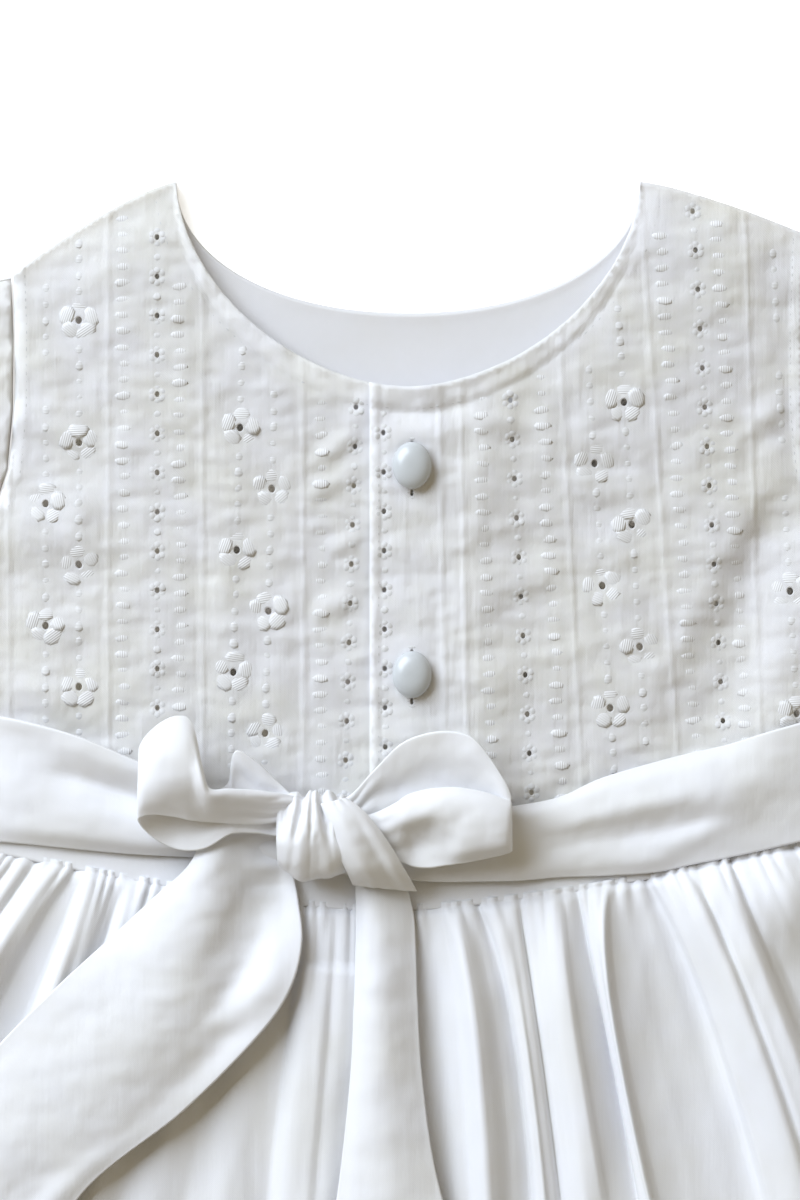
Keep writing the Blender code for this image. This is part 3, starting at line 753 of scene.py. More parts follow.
def side_fullness(x, y):
    """How far the lapping front stands up towards its armhole, with its hollow."""
    return 1.4 * swell(x - 92.0, 26.0) * smooth(y / 30.0) + drag_hollow(x, y)


def front_under(x, y):
    return LAYER + facing_room(x, y) + crown(x, y)


def lap_lift(x):
    return (LAYER + 0.1) * smooth((LAP_RAMP_X - x) / (LAP_RAMP_X - UNDERLAP_X - 2.0))


def crease(x, y, start, end):
    """Share of a crease's height at a place beside the line from its start to its end."""
    run = Vector(end) - Vector(start)
    to_place = Vector((x, y)) - Vector(start)
    along = to_place.dot(run) / run.length_squared
    if not -0.3 < along < 1.3:
        return 0.0, 99.0
    away = abs(run.x * to_place.y - run.y * to_place.x) / run.length
    return smooth((along + 0.3) / 0.6) * smooth((1.3 - along) / 0.6), away


def front_relief(x, y, columns):
    """The tucks, and the crinkle that their stitching and the embroidery draw into the cloth."""
    lift = 0.34 * uneven(x / 6.5, y / 2.6, 1.0)
    lift += 0.62 * uneven(x / 10.0, y / 7.0, 6.0)
    lift += 0.16 * uneven(x / 2.8, y / 2.4, 3.0)
    for start, end, height, width in WRINKLES:
        share, away = crease(x, y, start, end)
        if share:
            lift += height * share * (swell(away, width) - 0.6 * swell(away - 1.7 * width, width))
    for column in columns:
        away = x - column_x(column, y)
        if column.kind == "tuck" and abs(away) < 4.0:
            lift += 0.36 * swell(away, 0.62) - 0.20 * swell(away, 2.2)
    return lift


def front_doubled(x, y, laps):
    """1 where the cloth is turned in along the neck, armhole or lap, and part-way in the lap."""
    neck_turning = 0.6 * smooth((6.4 - (neck_y(x, *FRONT_NECK) - y)) / 0.8)
    neck_turning *= smooth((NECK_HALF_WIDTH + 2.0 - abs(x)) / 3.0)
    armhole = smooth((3.4 - (side_x(y) - abs(x))) / 0.6) * smooth((y - 91.0) / 3.0)
    lap = 0.0
    if laps:
        hem = x - LAP_EDGE_X
        lap = max(smooth((2.6 - hem) / 0.5), 0.45 * smooth((UNDERLAP_X + 8.0 - x) / 3.0))
    return max(neck_turning, armhole, lap)


def front_place(side, columns):
    laps = side > 0

    def place(x, y):
        lift = lap_lift(x) if laps else 0.0
        lift += front_relief(x, y, columns)
        neck_edge = neck_y(x, *FRONT_NECK) - y
        turned = 0.30 * smooth((6.3 - neck_edge) / 1.0) - 0.36 * swell(neck_edge - 6.8, 1.2)
        turned *= smooth((NECK_HALF_WIDTH + 2.0 - abs(x)) / 3.0)
        turned += 0.35 * smooth((2.4 - neck_edge) / 2.0)
        armhole = side_x(y) - abs(x)
        turned += 0.30 * smooth((3.4 - armhole) / 0.7) * smooth((y - 91.0) / 3.0)
        if laps:
            hem = x - LAP_EDGE_X
            turned += 0.34 * smooth((2.6 - hem) / 0.7) - 0.16 * swell(hem - 3.2, 0.8)
            lift += side_fullness(x, y)
        return x, y, max(1.9, front_under(x, y) + 0.62 + lift + turned)

    return place


BUTTON_X = 1.0
BUTTON_Y = {"button_upper": 116.0, "button_lower": 61.8}
BUTTONHOLE = 6.3           # half its length, up and down the lap
BUTTONHOLE_DROP = 0.7      # the button sits a little above the middle of its hole
BUTTONHOLE_STITCH = (1.5, 0.8, 0.36)
BUTTONHOLE_BAR = (3.2, 1.0, 0.40)
TOPSTITCH = (1.7, 0.55, 0.34)


def buttonhole_stitches(middle):
    """Close stitches across both edges of a buttonhole, with a bar at each end."""
    steps = 19
    rows = [middle + BUTTONHOLE * (2.0 * step / (steps - 1) - 1.0) for step in range(steps)]
    edges = [
        Stitch(BUTTON_X + beside, y, 0.0, BUTTONHOLE_STITCH) for y in rows for beside in (-0.9, 0.9)
    ]
    ends = [middle - BUTTONHOLE - 1.4, middle + BUTTONHOLE + 1.4]
    return edges + [Stitch(BUTTON_X, y, 0.0, BUTTONHOLE_BAR) for y in ends]


def topstitching(edge, inside, laps):
    """Small straight stitches that hold the turnings of the neck, the armhole and the lap."""
    stitches = []
    for (ax, ay), (bx, by) in list(zip(edge, edge[1:]))[::2]:
        x, y = 0.5 * (ax + bx), 0.5 * (ay + by)
        if laps and abs(x - LAP_EDGE_X) < 0.5:
            inset = 2.3
        elif abs(x) < NECK_HALF_WIDTH and y > 100.0:
            inset = 5.7
        elif y > 91.0 and side_x(y) - abs(x) < 1.0:
            inset = 3.0
        else:
            continue
        run = Vector((bx - ax, by - ay)).normalized()
        inward = Vector((-run.y, run.x))
        if not inside(x + inward.x, y + inward.y, 0.0):
            inward = -inward
        at = Vector((x, y)) + inward * inset
        if inside(at.x, at.y, 1.5):
            stitches.append(Stitch(at.x, at.y, math.atan2(run.y, run.x), TOPSTITCH))
    return stitches


for side, name, inner_x, columns in (
    (-1, "front_bodice_left", UNDERLAP_X, LEFT_COLUMNS),
    (1, "front_bodice_right", LAP_EDGE_X, RIGHT_COLUMNS),
):
    ends = (side * SIDE_X, inner_x) if side < 0 else (inner_x, side * SIDE_X)
    front_edge = panel_outline(*ends, FRONT_NECK, FRONT_PITCH)
    inside = inside_outline(front_edge, FRONT_NECK)
    eyelets, stitches = chart_motifs(columns, inside)
    stitches += topstitching(front_edge, inside, side > 0)
    if side > 0:
        for y in BUTTON_Y.values():
            middle = y - BUTTONHOLE_DROP
            for end in (middle - BUTTONHOLE, middle + BUTTONHOLE):
                eyelets.append(Eyelet(BUTTON_X, end, (0.45, 0.9), 0.0))
            stitches += buttonhole_stitches(middle)
    flat, triangles = cut_cloth(front_edge, inside, eyelets, columns, FRONT_PITCH)
    place = front_place(side, columns)
    front = sew(
        name + "_cloth", [place(*point) for point in flat], triangles, embroidered_cotton, COTTON_WALL,
        doubled=[front_doubled(*point, side > 0) for point in flat],
    )
    embroidery = embroider(name + "_embroidery", stitches, place, STITCH_SINK)
    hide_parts(name)


# ---------------------------------------------------------------------------------------------
# Sleeves: short puffs of the same cotton set into the armholes, gathered there, with a plain
# turned hem at the open end. They lie pressed flat beside the bodice.

ARMHOLE_GAP = 0.6
SLEEVE_LENGTH = 72.0
SLEEVE_HALF_ROUND = 84.0   # flat length of the upper half, and of the lower half, of the sleeve
SLEEVE_PITCH = 1.7
SLEEVE_HEM_X = (172.0, 152.0)
SLEEVE_HEM_DROP = (34.0, 90.0)
UNDERARM_Y = 93.0
SLEEVE_EDGE_Z = 1.35
SLEEVE_GATHERS = (0.10, 0.19, 0.27, 0.36, 0.44, 0.53, 0.62, 0.70, 0.79, 0.88)


def sleeve_place(side):
    armhole_top = shoulder_y(side * SHOULDER_TIP_X) - 1.0
    hem_y = [armhole_top - drop for drop in SLEEVE_HEM_DROP]

    def place(u, v):
        """u runs out along the sleeve, and v round it from its upper long edge and back."""
        along = min(1.0, max(0.0, u / SLEEVE_LENGTH))
        turn = (v / (2 * SLEEVE_HALF_ROUND)) % 1.0
        upper = turn <= 0.5
        share = turn * 2.0 if upper else 2.0 - turn * 2.0
        across = 0.5 - 0.5 * math.cos(math.pi * share)
        arm_y = mix(armhole_top, UNDERARM_Y, across)
        bow = 5.0 * math.sin(math.pi * along) ** 0.8
        x = mix(side_x(arm_y) + ARMHOLE_GAP, mix(*SLEEVE_HEM_X, across), along)
        y = mix(arm_y, mix(*hem_y, across), along) + bow * (1.0 - 2.0 * across)
        round_off = math.sin(math.pi * across)
        settled = max(0.0, along - 0.07) / 0.93
        puff = 0.2 + 8.6 * math.sin(math.pi * min(1.0, 0.96 * settled)) ** 1.25
        edge = min(1.0, round_off / 0.3) ** 0.5
        if not upper:
            return side * x, y, max(0.3, SLEEVE_EDGE_Z * (1.0 - edge) + 0.3)
        gathers = 0.0
        for number, at in enumerate(SLEEVE_GATHERS):
            reach = 0.55 + 0.3 * uneven(number * 3.1, side, 0.0)
            lean = 0.05 * uneven(number * 1.7, side, 4.0) * along
            gather = swell(across - at - lean, 0.024)
            gathers += gather * (1.0 - smooth(along / reach)) * smooth(along / 0.1)
        lift = 1.5 * gathers * smooth(round_off / 0.5)
        lift += 0.9 * uneven(x / 15.0, y / 12.0, 2.0 + side) * smooth(round_off / 0.6)
        lift += 0.22 * uneven(x / 3.2, y / 7.0, 9.0) * smooth(round_off / 0.4)
        hem = 0.35 * smooth((along - 0.885) / 0.02) - 0.25 * swell(along - 0.88, 0.008)
        z = SLEEVE_EDGE_Z * (1.0 + edge) + puff * smooth(round_off / 0.9) + lift + hem - 0.4
        return side * x, y, z

    return place


def sleeve_outline():
    edge = []
    steps_u = round(SLEEVE_LENGTH / SLEEVE_PITCH)
    steps_v = round(2 * SLEEVE_HALF_ROUND / SLEEVE_PITCH)
    for step in range(steps_u):
        edge.append((SLEEVE_LENGTH * step / steps_u, 0.0))
    for step in range(steps_v):
        edge.append((SLEEVE_LENGTH, 2 * SLEEVE_HALF_ROUND * step / steps_v))
    for step in range(steps_u, 0, -1):
        edge.append((SLEEVE_LENGTH * step / steps_u, 2 * SLEEVE_HALF_ROUND))
    for step in range(steps_v, 0, -1):
        edge.append((0.0, 2 * SLEEVE_HALF_ROUND * step / steps_v))
    return edge


def inside_sleeve(u, v, margin):
    room = max(margin, 0.001)
    in_length = room < u < SLEEVE_LENGTH - (room if margin == 0.0 else 12.0)
    return in_length and room < v < 2 * SLEEVE_HALF_ROUND - room


def sleeve_chart():
    """Flowers and dots in rows along the sleeve, on its upper half."""
    eyelets = []
    stitches = []
    for row, v in enumerate((22.0, 42.0, 62.0)):
        for step in range(4):
            u = 13.0 + 15.5 * step + (7.0 if row % 2 else 0.0)
            if inside_sleeve(u, v, 6.0):
                eyelets.append(Eyelet(u, v, FLOWER_EYELET, 0.0))
                for petal in range(PETALS):
                    turn = math.radians(360.0 / PETALS * petal)
                    petal_u = u + PETAL_REACH * math.cos(turn)
                    petal_v = v + PETAL_REACH * math.sin(turn)
                    stitches.append(Stitch(petal_u, petal_v, turn, PETAL_SIZE))
        for step in range(13):
            u = 8.0 + DOT_STEP * step
            for beside in (-8.6, 8.6):
                if inside_sleeve(u, v + beside, 2.0):
                    stitches.append(Stitch(u, v + beside, 0.0, DOT_SIZE))
    return eyelets, stitches


sleeve_edge = sleeve_outline()
sleeve_eyelets, sleeve_stitches = sleeve_chart()
sleeve_flat, sleeve_triangles = cut_cloth(
    sleeve_edge, inside_sleeve, sleeve_eyelets, (), SLEEVE_PITCH
)
for side, name in ((-1, "sleeve_left"), (1, "sleeve_right")):
    place = sleeve_place(side)
    sleeve = sew(
        name + "_cloth", [place(*point) for point in sleeve_flat], sleeve_triangles,
        embroidered_cotton, COTTON_WALL,
        doubled=[max(1.0 - smooth((u - 6.0) / 2.0), smooth((u - 63.3) / 0.8)) for u, v in sleeve_flat],
    )
    joined = bmesh.new()
    joined.from_mesh(sleeve.data)
    bmesh.ops.remove_doubles(joined, verts=joined.verts, dist=0.02 * MM)
    if side < 0:
        bmesh.ops.reverse_faces(joined, faces=joined.faces)
    joined.to_mesh(sleeve.data)
    joined.free()
    embroidery = embroider(
        name + "_embroidery", sleeve_stitches, place, STITCH_SINK, flip=side > 0
    )
    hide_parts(name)


# ---------------------------------------------------------------------------------------------
# Waistband: a straight band of smooth cotton poplin round the waist, front and back. The bodice
# is sewn into its upper edge and the skirt into its lower one.

poplin = cloth_material(
    "poplin", (0.885, 0.89, 0.93), (0.875, 0.875, 0.885), 3800.0, 0.05, 0.08, 0.18
)
BAND_WALL = 0.9
BAND_COLUMNS = 130
BAND_ROWS = 22


def sew_band(name, rows, material, thickness, rounded=0.8):
    """A doubled strip of cloth with rounded folded edges, from rows of points along it."""
    count = len(rows)
    across = len(rows[0])
    grid = [[Vector(point) for point in row] for row in rows]
    points = []
    over = {}
    under = {}
    for row in range(count):
        for column in range(across):
            here = grid[row][column]
            along = grid[min(row + 1, count - 1)][column] - grid[max(row - 1, 0)][column]
            aside = grid[row][min(column + 1, across - 1)] - grid[row][max(column - 1, 0)]
            normal = along.cross(aside).normalized()
            rim = (grid[row][0], grid[row][-1], grid[0][column], grid[-1][column])
            edge = min((here - place).length for place in rim)
            on_rim = row in (0, count - 1) or column in (0, across - 1)
            share = min(1.0, edge / rounded)
            half = 0.5 * thickness * math.sqrt(max(0.0, 1.0 - (1.0 - share) ** 2))
            if on_rim:
                over[row, column] = under[row, column] = len(points)
                points.append(here)
                continue
            over[row, column] = len(points)
            points.append(here + normal * half)
            under[row, column] = len(points)
            points.append(here - normal * half)
    faces = []
    for row in range(count - 1):
        for column in range(across - 1):
            ring = ((row, column), (row + 1, column), (row + 1, column + 1), (row, column + 1))
            faces.append([over[corner] for corner in ring])
            faces.append([under[corner] for corner in reversed(ring)])
    return sew(name, points, faces, material, 0.0, keep_side=True)


def crowded(count, crowd=0.10):
    """Shares from 0 to 1 that lie closer together near both ends."""
    shares = []
    for step in range(count):
        share = step / (count - 1)
        shares.append(share - crowd * math.sin(2 * math.pi * share))
    return shares


def waistband_rows(front):
    rows = []
    for step in range(BAND_COLUMNS):
        x = mix(-SIDE_X, SIDE_X, step / (BAND_COLUMNS - 1))
        row = []
        for rise in crowded(BAND_ROWS):
            y = mix(seam_y(x) - 0.2, band_top_y(x) + 0.6, rise)
            lift = 0.18 * uneven(x / 9.0, y / 5.0, 2.0)
            lift -= 0.35 * swell(rise - 0.5, 0.25)
            under = LAYER + crown(x, y) if front else 0.0
            row.append((x, y, under + 0.75 + (lift if front else 0.0)))
        rows.append(row)
    return rows


for name, front in (("waistband_back", False), ("waistband_front", True)):
    band = sew_band(name + "_cloth", waistband_rows(front), poplin, BAND_WALL)
    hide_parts(name)


# ---------------------------------------------------------------------------------------------
# Skirt: two widths of poplin gathered into the waistband. Small puckers at the seam run out into
# soft folds that open towards the hem, and the back lies flatter under the front's weight.

Fold = namedtuple("Fold", "valley crest near hem")
LONG_FOLDS = (             # the folds that run on down to the hem
    Fold(-112, -106, 3.0, 6.0), Fold(-99, -93, 4.2, 10.8), Fold(-87, -76, 5.2, 6.4),
    Fold(-66, -60, 3.8, 10.6), Fold(-54, -48, 3.6, 5.2), Fold(-42, -35, 3.6, 10.2),
    Fold(-27.4, -20, 3.8, 6.2), Fold(-13, -6, 3.6, 11.0), Fold(1, 8, 4.2, 5.4),
    Fold(15.6, 22.5, 4.8, 9.6), Fold(27.6, 34, 5.4, 10.6), Fold(39.8, 48, 5.0, 5.8),
    Fold(57.5, 69, 6.0, 10.6), Fold(79.5, 91, 5.2, 7.2), Fold(101, 107, 3.0, 6.0),
)
Pleat = namedtuple("Pleat", "x near low")
PLEATS = tuple(Pleat(*row) for row in (   # heights just under the seam, and 30 mm below it
    (-112.0, 0.4, 0.4), (-107.0, 2.6, 2.8), (-103.6, 2.2, 1.8), (-101.7, 0.6, 1.0),
    (-98.8, 3.4, 2.6), (-96.4, 1.2, 1.6), (-91.5, 5.2, 8.0), (-89.4, 4.6, 5.0), (-87.4, 1.4, 2.0),
    (-84.4, 0.3, 0.2), (-82.4, 5.6, 7.4), (-79.0, 4.4, 5.0), (-75.6, 2.2, 2.6), (-74.4, 0.8, 1.2),
    (-71.4, 3.8, 4.6), (-66.0, 3.0, 3.4), (-60.0, 3.2, 3.0), (-50.0, 2.2, 1.4), (-40.0, 1.0, 0.3),
    (-27.4, 0.5, 0.0), (-24.0, 2.0, 2.2), (-22.9, 0.8, 2.4), (-20.0, 1.6, 2.6), (-18.7, 0.6, 1.8),
    (-16.4, 1.4, 2.2), (-13.0, 0.8, 1.8), (-6.0, 1.2, 1.2), (1.0, 0.8, 0.4), (5.0, 0.4, 0.0),
    (8.4, 1.8, 1.8), (11.6, 6.8, 8.2), (12.5, 5.6, 7.2), (16.0, 1.8, 2.6), (19.2, -0.6, -0.6),
    (20.4, 4.0, 4.0), (24.0, 4.2, 4.6), (27.6, 3.4, 4.4), (28.2, 1.0, 2.0), (30.4, 3.4, 4.0),
    (39.6, 7.8, 9.4), (40.5, 5.4, 7.0), (44.4, 0.4, 0.6), (45.6, 3.2, 3.2), (51.6, 8.0, 8.6),
    (52.5, 4.0, 5.4), (56.5, 2.0, 2.8), (60.0, 0.4, 0.6), (61.8, -1.2, -1.4), (63.0, -1.2, -1.5),
    (64.2, 4.0, 4.4), (72.2, 9.6, 10.6), (73.8, 6.8, 9.0), (75.4, 8.8, 10.6), (81.2, 10.6, 11.4),
    (82.6, 9.2, 9.4), (84.0, 6.6, 5.2), (86.0, 8.6, 3.2), (94.0, 10.6, 1.6), (98.5, 7.6, 2.4),
    (104.0, 4.0, 3.2), (112.0, 0.4, 0.4),
))
SKIRT_DRIFT = (            # place on the waist seam, and how far the cloth below it goes aside
    (-112, 0.0), (-100, -4.0), (-92, -5.5), (-88, -3.0), (-84, 4.0), (-82, 5.0), (-75, 4.0),
    (-66, 2.0), (-54, 0.0), (2, 2.0), (12, 5.2), (19.9, 6.2), (27.3, 0.0), (29.1, 0.2),
    (39.5, -5.0), (43.9, -1.9), (48, -6.1), (52, -10.3), (57, -6.0), (63.4, 3.5), (73.6, 1.2),
    (82.4, -2.9), (97, -1.0), (112, 0.0),
)
DRIFT_DEPTH = 22.0         # below the seam, where about two thirds of the way aside is done
SKIRT_WALL = 0.8
SKIRT_LENGTH = 520.0
SKIRT_TUCKED = 1.6         # length of skirt that goes up under the waistband's edge
SKIRT_COLUMNS = 360
SKIRT_ROWS = 104
BACK_SKIRT_COLUMNS = 150
BACK_SKIRT_ROWS = 50
HEM_DEPTH = 28.0


def look_up(table, at):
    """The value at a place in a table of places and values, eased from each to the next."""
    for (low, start), (high, end) in zip(table, table[1:]):
        if at <= high:
            return mix(start, end, smooth((at - low) / (high - low)))
    return table[-1][1]


def opened(down, reach):
    """Share from 0 at the seam towards 1 below it."""
    return 1.0 - math.exp(-max(0.0, down) / reach)


def skirt_place(waist_x, down):
    """Where a place that is so far down the skirt from waist_x lies, for folds laid fanwise."""
    grow = 1.0 + 1.45 * opened(down, 255.0)
    laid = 1.0 - 0.065 * (waist_x / SIDE_X) ** 2
    drift = look_up(SKIRT_DRIFT, waist_x) * opened(down, DRIFT_DEPTH)
    drift *= smooth((260.0 - down) / 200.0)
    return waist_x * grow + drift, seam_y(waist_x) - down * laid


def fold_height(waist_x, down):
    """Height of the long folds, which wander a little aside on their way to the hem."""
    aside = 3.2 * uneven(waist_x / 30.0, down / 120.0, 3.0) * smooth(down / 160.0)
    waist_x += aside * (1.0 - (waist_x / SIDE_X) ** 4)
    ends = [fold.valley for fold in LONG_FOLDS[1:]] + [SIDE_X]
    for fold, end in zip(LONG_FOLDS, ends):
        if waist_x <= end:
            break
    if waist_x < fold.crest:
        phase = (waist_x - fold.valley) / (fold.crest - fold.valley)
    else:
        phase = (end - waist_x) / (end - fold.crest)
    height = mix(fold.near, fold.hem, smooth((down - 40.0) / 380.0))
    return height * (0.12 + 0.88 * opened(down, 15.0)) * smooth(phase)


def pleat_height(waist_x, down):
    """Height of the pressed pleats, which start crisp at the seam and soften below the bow."""
    for first, last in zip(PLEATS, PLEATS[1:]):
        if waist_x <= last.x:
            break
    share = (waist_x - first.x) / (last.x - first.x)
    share = mix(share, smooth(share), 0.6)
    low = smooth((down - 8.0) / 24.0)
    height = mix(mix(first.near, last.near, share), mix(first.low, last.low, share), low)
    return height * (0.25 + 0.75 * opened(down, 7.0))


def back_fold(waist_x, down):
    return 0.22 * fold_height(waist_x, down) * (1.0 - (waist_x / SIDE_X) ** 4)


def skirt_front_place(waist_x, down):
    x, y = skirt_place(waist_x, down)
    z = LAYER + 2.5 * (1.0 - (waist_x / SIDE_X) ** 4) + 0.8
    soft = smooth((down - 55.0) / 90.0)
    z += mix(pleat_height(waist_x, down), fold_height(waist_x, down), soft) + back_fold(waist_x, down)
    fade = smooth((SIDE_X - abs(waist_x)) / 6.0)
    gather = math.sin(1.7 * waist_x + 5.0 * uneven(waist_x / 6.5, 0.0, 0.0))
    gather *= 0.9 + 1.3 * uneven(waist_x / 5.0, 11.0, 0.0)
    reach = 6.5 + 6.0 * uneven(waist_x / 4.0, 3.0, 0.0)
    below = max(0.0, down)
    z += 0.75 * gather * math.exp(-below / reach) * fade
    z -= 1.5 * (1.0 - smooth((down + 0.4) / 2.4))
    z += 0.9 * uneven(x / 34.0, y / 60.0, 5.0) * smooth(down / 40.0) * fade
    z += 0.5 * uneven(x / 8.0, y / 24.0, 7.0) * smooth(down / 12.0) * fade
    z += 0.24 * uneven(x / 3.6, y / 8.0, 9.0) * smooth(down / 6.0) * fade
    tuck = smooth((waist_x + 27.5) / 1.5) * smooth((-8.0 - waist_x) / 4.0)
    z += 1.5 * tuck * smooth((down - 14.5) / 1.2) * smooth((80.0 - down) / 50.0)
    hem = down - (SKIRT_LENGTH - HEM_DEPTH)
    z += 0.5 * smooth(hem / 1.2) - 0.4 * swell(hem + 0.8, 1.2)
    return x, y, z


def skirt_downs(rows):
    """Distances below the seam: close rows at the seam and wide ones towards the hem."""
    downs = [-SKIRT_TUCKED, -0.5 * SKIRT_TUCKED]
    for step in range(rows + 1):
        share = step / rows
        downs.append(SKIRT_LENGTH * (0.12 * share + 0.88 * share ** 2.3))
    return downs


def skirt_back_place(waist_x, down):
    x, y = skirt_place(waist_x, down)
    return x, y, max(0.42, 0.6 + back_fold(waist_x, down) - 0.3 * (down < 0.0))


def sew_skirt(name, place, rows, columns):
    downs = skirt_downs(rows)
    points = [
        place(mix(-SIDE_X, SIDE_X, column / (columns - 1)), down)
        for down in downs for column in range(columns)
    ]
    return sew(name, points, grid_faces(len(downs), columns), poplin, SKIRT_WALL)


skirt_front = sew_skirt("skirt_front_cloth", skirt_front_place, SKIRT_ROWS, SKIRT_COLUMNS)
skirt_back = sew_skirt("skirt_back_cloth", skirt_back_place, BACK_SKIRT_ROWS, BACK_SKIRT_COLUMNS)
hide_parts("skirt_back")
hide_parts("skirt_front")


# ---------------------------------------------------------------------------------------------
# Sash: two long ties of doubled poplin, each sewn into a side seam and brought round to the
# front, where they are tied. They lie in soft lengthwise folds over the band.

def spline(rows, place):
    """The row at a place along a table of equal rows, on a smooth curve through them."""
    first = min(int(place), len(rows) - 2)
    share = place - first
    around = [rows[min(max(first + step, 0), len(rows) - 1)] for step in (-1, 0, 1, 2)]
    values = []
    for before, start, end, after in zip(*around):
        bend = 2 * before - 5 * start + 4 * end - after
        twist = 3 * start - before - 3 * end + after
        values.append(start + 0.5 * share * (end - before + share * (bend + share * twist)))
    return values


def drape(sections, steps, columns, lift, rumple):
    """Rows of points through sections: two edge points, then heights at even places between.
    lift is what the strip lies on, and rumple its small creases."""
    rows = []
    count = steps * (len(sections) - 1) + 1
    for step in range(count):
        section = spline(sections, step / steps)
        first_x, first_y, last_x, last_y = section[:4]
        heights = [(height,) for height in section[4:]]
        row = []
        for share in crowded(columns):
            x = mix(first_x, last_x, share)
            y = mix(first_y, last_y, share)
            z = spline(heights, share * (len(heights) - 1))[0]
            if lift:
                z += lift(x, y)
            row.append((x, y, z + rumple(step / (count - 1), share, x, y)))
        rows.append(row)
    return rows


def sash_under(x, y):
    lap = smooth((x - LAP_EDGE_X + 14.0) / 8.0) * smooth((LAP_RAMP_X + 4.0 - x) / 16.0)
    full = max(0.0, side_fullness(x, y)) if x > 40.0 else 0.0
    return 2 * LAYER + crown(x, y) + lap * (LAYER + 0.5) + full + 0.65


def soft_creases(step, share, x, y):
    soft = 0.46 * uneven(x / 12.0, y / 6.0, 4.0)
    fine = 0.18 * uneven(x / 3.6, y / 3.0, 8.0)
    return (soft + fine) * math.sin(math.pi * share) ** 0.5


TIE_WALL = 0.8             # a tie is two layers of poplin, pressed
TIE_EDGE = 0.45            # how far in from its folded edge a tie is rounded
SASH_LEFT = (              # lower and upper edge, then heights from the lower to the upper edge
    (-112, 18.5, -112, 52.0, 0.3, 0.9, 1.4, 1.6, 1.6, 1.5, 1.2, 0.8, 0.5),
    (-100, 17.6, -100, 49.8, 0.3, 2.5, 2.9, 3.0, 2.7, 2.0, 1.4, 2.2, 3.6),
    (-86, 16.2, -86, 46.0, 0.3, 3.1, 3.7, 3.6, 2.5, 1.2, 3.2, 5.2, 5.6),
    (-71, 14.9, -71, 39.8, 0.3, 3.0, 3.6, 3.4, 2.2, 1.0, 3.1, 5.2, 5.6),
    (-56, 14.2, -56, 33.6, 0.2, 2.3, 2.9, 2.6, 1.8, 0.8, 1.8, 2.8, 2.8),
    (-43, 13.2, -43, 29.5, 0.2, 1.2, 1.8, 1.6, 1.2, 0.9, 1.2, 1.6, 1.4),
    (-29, 12.5, -29, 27.5, 0.2, 0.8, 1.2, 1.2, 1.2, 1.0, 1.0, 0.8, 0.6),
)
SASH_RIGHT = (
    (-18, 10, -18, 26, 0.2, 0.6, 0.8, 0.8, 0.8, 0.8, 0.8, 0.7, 0.5),
    (5, 8, 5, 26.5, 0.2, 0.6, 0.9, 1.2, 1.6, 1.9, 2.0, 1.7, 0.7),
    (20, 8, 20, 27, 0.2, 0.6, 1.1, 1.6, 2.0, 2.5, 2.8, 2.5, 0.9),
    (30, 8.2, 30, 28, 0.3, 1.4, 1.7, 1.8, 2.2, 2.9, 3.4, 3.4, 1.2),
    (40, 9, 40, 30.2, 0.3, 1.6, 1.9, 1.8, 2.5, 3.6, 3.7, 3.0, 1.2),
    (50, 9.3, 50, 34.8, 0.3, 1.7, 1.9, 1.7, 2.6, 4.2, 3.8, 2.8, 1.2),
    (64, 10.2, 64, 39, 0.6, 2.3, 2.4, 1.5, 2.8, 4.7, 4.1, 3.0, 1.2),
    (75, 12.5, 75, 41.8, 0.9, 2.0, 3.0, 2.0, 3.6, 4.7, 4.1, 3.0, 1.1),
    (83, 14, 83, 43.6, 0.9, 1.6, 2.2, 3.1, 4.0, 4.1, 3.3, 2.3, 0.9),
    (95, 16.6, 95, 47.4, 0.8, 1.1, 1.2, 1.7, 2.5, 2.6, 2.0, 1.3, 0.6),
    (112, 20.4, 112, 52, 0.3, 0.5, 0.6, 0.7, 0.8, 0.7, 0.6, 0.5, 0.3),
)
for side, name, sections in ((-1, "sash_left", SASH_LEFT), (1, "sash_right", SASH_RIGHT)):
    rows = drape(sections, 12, 34, sash_under, soft_creases)
    tie = sew_band(name + "_cloth", rows, poplin, TIE_WALL, rounded=TIE_EDGE)
    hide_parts(name)


# ---------------------------------------------------------------------------------------------
# Bow: the two ties crossed, looped and drawn up into a small knot. One tail falls to the left
# with a broad hollow in it, the other hangs straight, and a strand crosses the knot onto it.

TAIL_LEFT = (              # left and right edge, then heights from the left to the right edge
    (-53, 23, -32.6, 23, 9.6, 9.8, 9.6, 9.2, 8.8, 8.6, 8.6, 8.8, 9.0),
    (-56.5, 13, -30.4, 13, 10.8, 12.8, 13.2, 11.6, 9.6, 7.8, 6.2, 5.2, 6.0),
    (-66.5, 3.5, -28.4, 3, 10.2, 12.8, 14.2, 14.4, 12.4, 8.8, 6.8, 6.2, 8.0),
    (-79, -8, -27.4, -8, 11.2, 12.9, 14.6, 15.6, 14.8, 11.2, 9.0, 10.9, 11.6),
    (-91, -19, -30.6, -20, 12.9, 13.9, 14.8, 15.8, 16.0, 14.2, 11.4, 14.0, 13.2),
    (-106, -34, -39, -32, 12.9, 14.1, 15.2, 16.2, 16.6, 16.2, 14.2, 12.2, 13.2),
    (-124, -55, -58, -51, 12.4, 13.8, 15.0, 15.8, 16.0, 15.8, 15.0, 13.6, 13.0),
    (-137, -78, -84, -72, 12.8, 14.0, 14.8, 15.4, 15.2, 14.6, 14.4, 15.0, 13.6),
    (-145, -103, -99, -99, 13.0, 14.0, 14.6, 15.2, 15.2, 14.8, 14.6, 14.8, 13.6),
    (-150, -129, -106, -128, 13.2, 14.0, 14.6, 15.0, 15.0, 14.8, 14.6, 14.6, 13.8),
    (-152, -158, -107, -146, 13.4, 14.0, 14.4, 14.8, 14.8, 14.6, 14.4, 14.4, 13.8),
)
